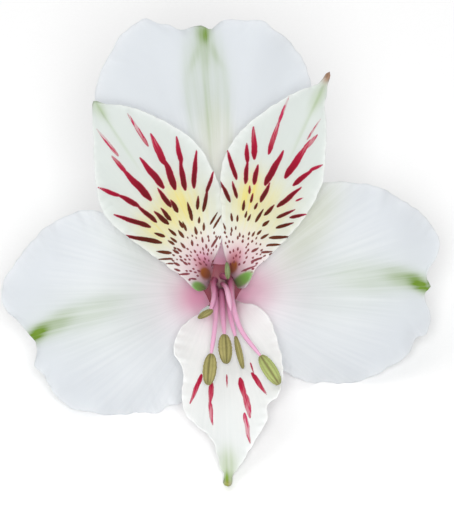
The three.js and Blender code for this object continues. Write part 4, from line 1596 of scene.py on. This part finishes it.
# ---------------------------------------------------------------- studio
@dataclass(frozen=True)
class Studio:
    """A pale floor, soft lights all round, and a camera that looks straight into the bloom."""

    distance: float = 2.5  # of the camera from the bloom, in metres
    view_height: float = 0.0818  # how much of the bloom's plane the view takes in
    middle: Triple = (0.81, 4.92, 0.0)  # of the view, in the bloom's frame
    floor_half: float = 3.0
    room: float = 0.47  # how bright the white room is

    SENSOR_MM = 24.0
    CLIP = (0.05, 20.0)  # nearest and furthest that the camera sees
    LAMPS = (  # size in metres, watts, and place
        ("top_softbox", 1.0, 2.8, (-0.3, -0.1, 1.0)),
        ("front_softbox", 0.45, 23.0, (0.0, -1.47, 1.05)),
    )

    def build(self) -> None:
        """Makes the floor, the lights and the camera."""
        self.floor()
        self.lights()
        self.camera()

    def floor(self) -> None:
        """Lays a wide sheet of matt white paper under the bloom."""
        paper = Powder("matt_white_paper", "ffffff", "fbfbfb", 0.5, 0.9).make()
        corners = ((-1, -1, 0), (1, -1, 0), (1, 1, 0), (-1, 1, 0))
        sheet = Skin(self.floor_half * np.array(corners), [(0, 1, 2, 3)], {})
        floor = sheet.build("paper_floor", paper)

    def lights(self) -> None:
        """Hangs a strong soft light behind the camera and a faint one above, in a bright room."""
        world = bpy.data.worlds.new("white_room")
        world.use_nodes = True
        walls = world.node_tree.nodes["Background"].inputs
        walls["Color"].default_value = linear("ffffff")
        walls["Strength"].default_value = self.room
        bpy.context.scene.world = world
        for name, size, power, place in self.LAMPS:
            lamp = bpy.data.lights.new(name, "AREA")
            lamp.shape, lamp.size, lamp.energy = "SQUARE", size, power
            light = put(name, lamp)
            light.location = place
            light.rotation_euler = Vector(place).to_track_quat("Z", "Y").to_euler()

    def camera(self) -> None:
        """Sets the camera on the bloom's own axis, level with its face."""
        lens = bpy.data.cameras.new("camera")
        lens.sensor_fit, lens.sensor_height = "VERTICAL", self.SENSOR_MM
        lens.lens = self.SENSOR_MM * self.distance / self.view_height
        lens.clip_start, lens.clip_end = self.CLIP
        turn = LAY.turn()
        target = Vector(LAY.place(np.array([self.middle]))[0])
        camera = put("camera", lens)
        camera.location = target + turn @ Vector((0, 0, self.distance))
        camera.rotation_euler = turn.to_euler()
        bpy.context.scene.camera = camera


# ---------------------------------------------------------------- assembly
@dataclass(frozen=True)
class Bloom:
    """The whole bloom: tepals, ovary, stamens, style and stalk."""

    stalk_radius: float = 1.2
    stalk_seat: float = -25.5  # depth of its upper end
    stalk_end: Pair = (1.5, 52.6)  # where it ends on the surface

    STALK_TOP = (0.6, 0.0, -3.0)  # depths from that end: inside the ovary, at it, and below it
    STALK_RUN = ((-0.7, 9, 0.9), (-1.3, 20, 0.25), (-0.4, 34, 0.3))  # then aside, along, lifted
    STALK_END_LIFTED = 0.05
    STYLE = ((0, 0, -17.5), (0.2, -0.1, -10), (0.8, -1.0, -3), (1.45, -4.3, 3.2))
    STYLE_THICKNESS = ((0, 0.34), (0.6, 0.4), (0.8, 0.44), (0.92, 0.3), (1, 0.06))
    STALK_THICKNESS = ((0, 1.1), (0.5, 1.15), (0.9, 1.2), (0.996, 1.2), (1, 1.12))

    def build(self) -> None:
        """Builds every piece of the bloom."""
        self.tepals()
        rod = rod_tree()
        self.stamens(rod)
        self.stalk(rod)
        # green below, turning to a dusky rose at its top deep in the throat: its own tint, painted
        # darker as shade in that hollow
        skin = FleshyTissue(
            "ovary_skin", "5c9a3a", "955660", start_mm=-19.6, end_mm=-16.6, ridge="55793a"
        )
        Ovary().build(skin.make())

    def tepals(self) -> None:
        """Builds the six tepals."""
        outer = TepalTissue(
            "outer_tepal_tissue", "f3f5f6", "e8ebee", 110.0, False, glow=0.6, velvet=0.9
        )
        inner = TepalTissue("inner_tepal_tissue", "e2e7e4", "dde2df", 90.0, True, glow=0.45)
        # painted light: the lower tepal's tissue is painted whiter than the other inner tepals' for
        # the stronger light on it
        lower = TepalTissue(
            "lower_tepal_tissue", "f1f2f1", "e6e9e8", 90.0, True, glow=0.25, scratched=0.4
        )
        outer, inner, lower = outer.make(), inner.make(), lower.make()
        whites = {"outer_tepals": outer, "inner_tepals": inner}
        for tepal in TEPALS:
            tepal.build(lower if tepal.node == "inner_tepal_lower" else whites[tepal.slot])

    def stamens(self, rod: bpy.types.NodeTree) -> None:
        """Builds the filaments, the anthers and the style.

        Args:
            rod: the node group that makes a rod of a curve.
        """
        dusting = pollen_tree()
        rose = FleshyTissue("filament_tissue", "c4628f", "d9a4c2", 0.38, start_mm=-9, end_mm=6)
        rose = rose.make()
        # each wall's third colour is the painted shade for its folds and ends
        ripe, ripening, unripe = (
            Powder(f"{age}anther_wall", light, dark, 0.5, 0.7, crease).make()
            for age, light, dark, crease in (
                ("", "a59a66", "8f8c52", "6d683f"),
                ("ripening_", "a6b070", "99a862", "78724a"),
                ("young_", "8fa274", "77895b", "5f6e4c"),
            )
        )
        pollen = Powder("pollen", "a09a62", "837b46", 0.1, 0.9).make()
        for stamen in STAMENS:
            filament = Thread(f"filament_{stamen.number}", "filaments", stamen.THICKNESS)
            filament.build(stamen.filament_path(), rod, rose)
            wall = {6: unripe, 4: ripening}.get(stamen.number, ripe)
            stamen.build_anther(wall, pollen, dusting)
        pale = FleshyTissue("style_tissue", "cf6f9f", "e3b2cd", 0.36, start_mm=-10, end_mm=2)
        style = Thread("style", "style", self.STYLE_THICKNESS)
        style.build(LAY.place(np.array(self.STYLE)), rod, pale.make())

    def stalk(self, rod: bpy.types.NodeTree) -> None:
        """Builds the stalk, which bends down from the ovary to lie on the surface.

        Args:
            rod: the node group that makes a rod of a curve.
        """
        top = np.array([(0, 0, self.stalk_seat + depth) for depth in self.STALK_TOP])
        inside, (aside, along, _), bend = LAY.place(top) / MM
        run = [(aside + x, along + y, self.stalk_radius + z) for x, y, z in self.STALK_RUN]
        end = (*self.stalk_end, self.stalk_radius + self.STALK_END_LIFTED)
        path = np.array([inside, bend, *run, end])
        skin = FleshyTissue("stalk_skin", "6f9a48", "5f8b3d", 0.4, start_mm=-60, end_mm=-25)
        cut = FleshyTissue("cut_flesh", "b9cc93", "b9cc93", roughness=0.6).make()
        thread = Thread(
            "stalk", "stalk", self.STALK_THICKNESS, ribs=8, rib_depth=0.035, steps=260, sides=64
        )
        piece = thread.build(path * MM, rod, skin.make())
        piece.data.materials.append(cut)
        for polygon in piece.data.polygons:
            if len(polygon.vertices) > 4:  # the ends
                polygon.material_index = 1


def main() -> None:
    """Builds the studio and the bloom."""
    logging.basicConfig(level=logging.INFO, format="%(message)s")
    bpy.context.scene.view_settings.view_transform = "Standard"
    Studio().build()
    Bloom().build()


if __name__ == "__main__":
    main()
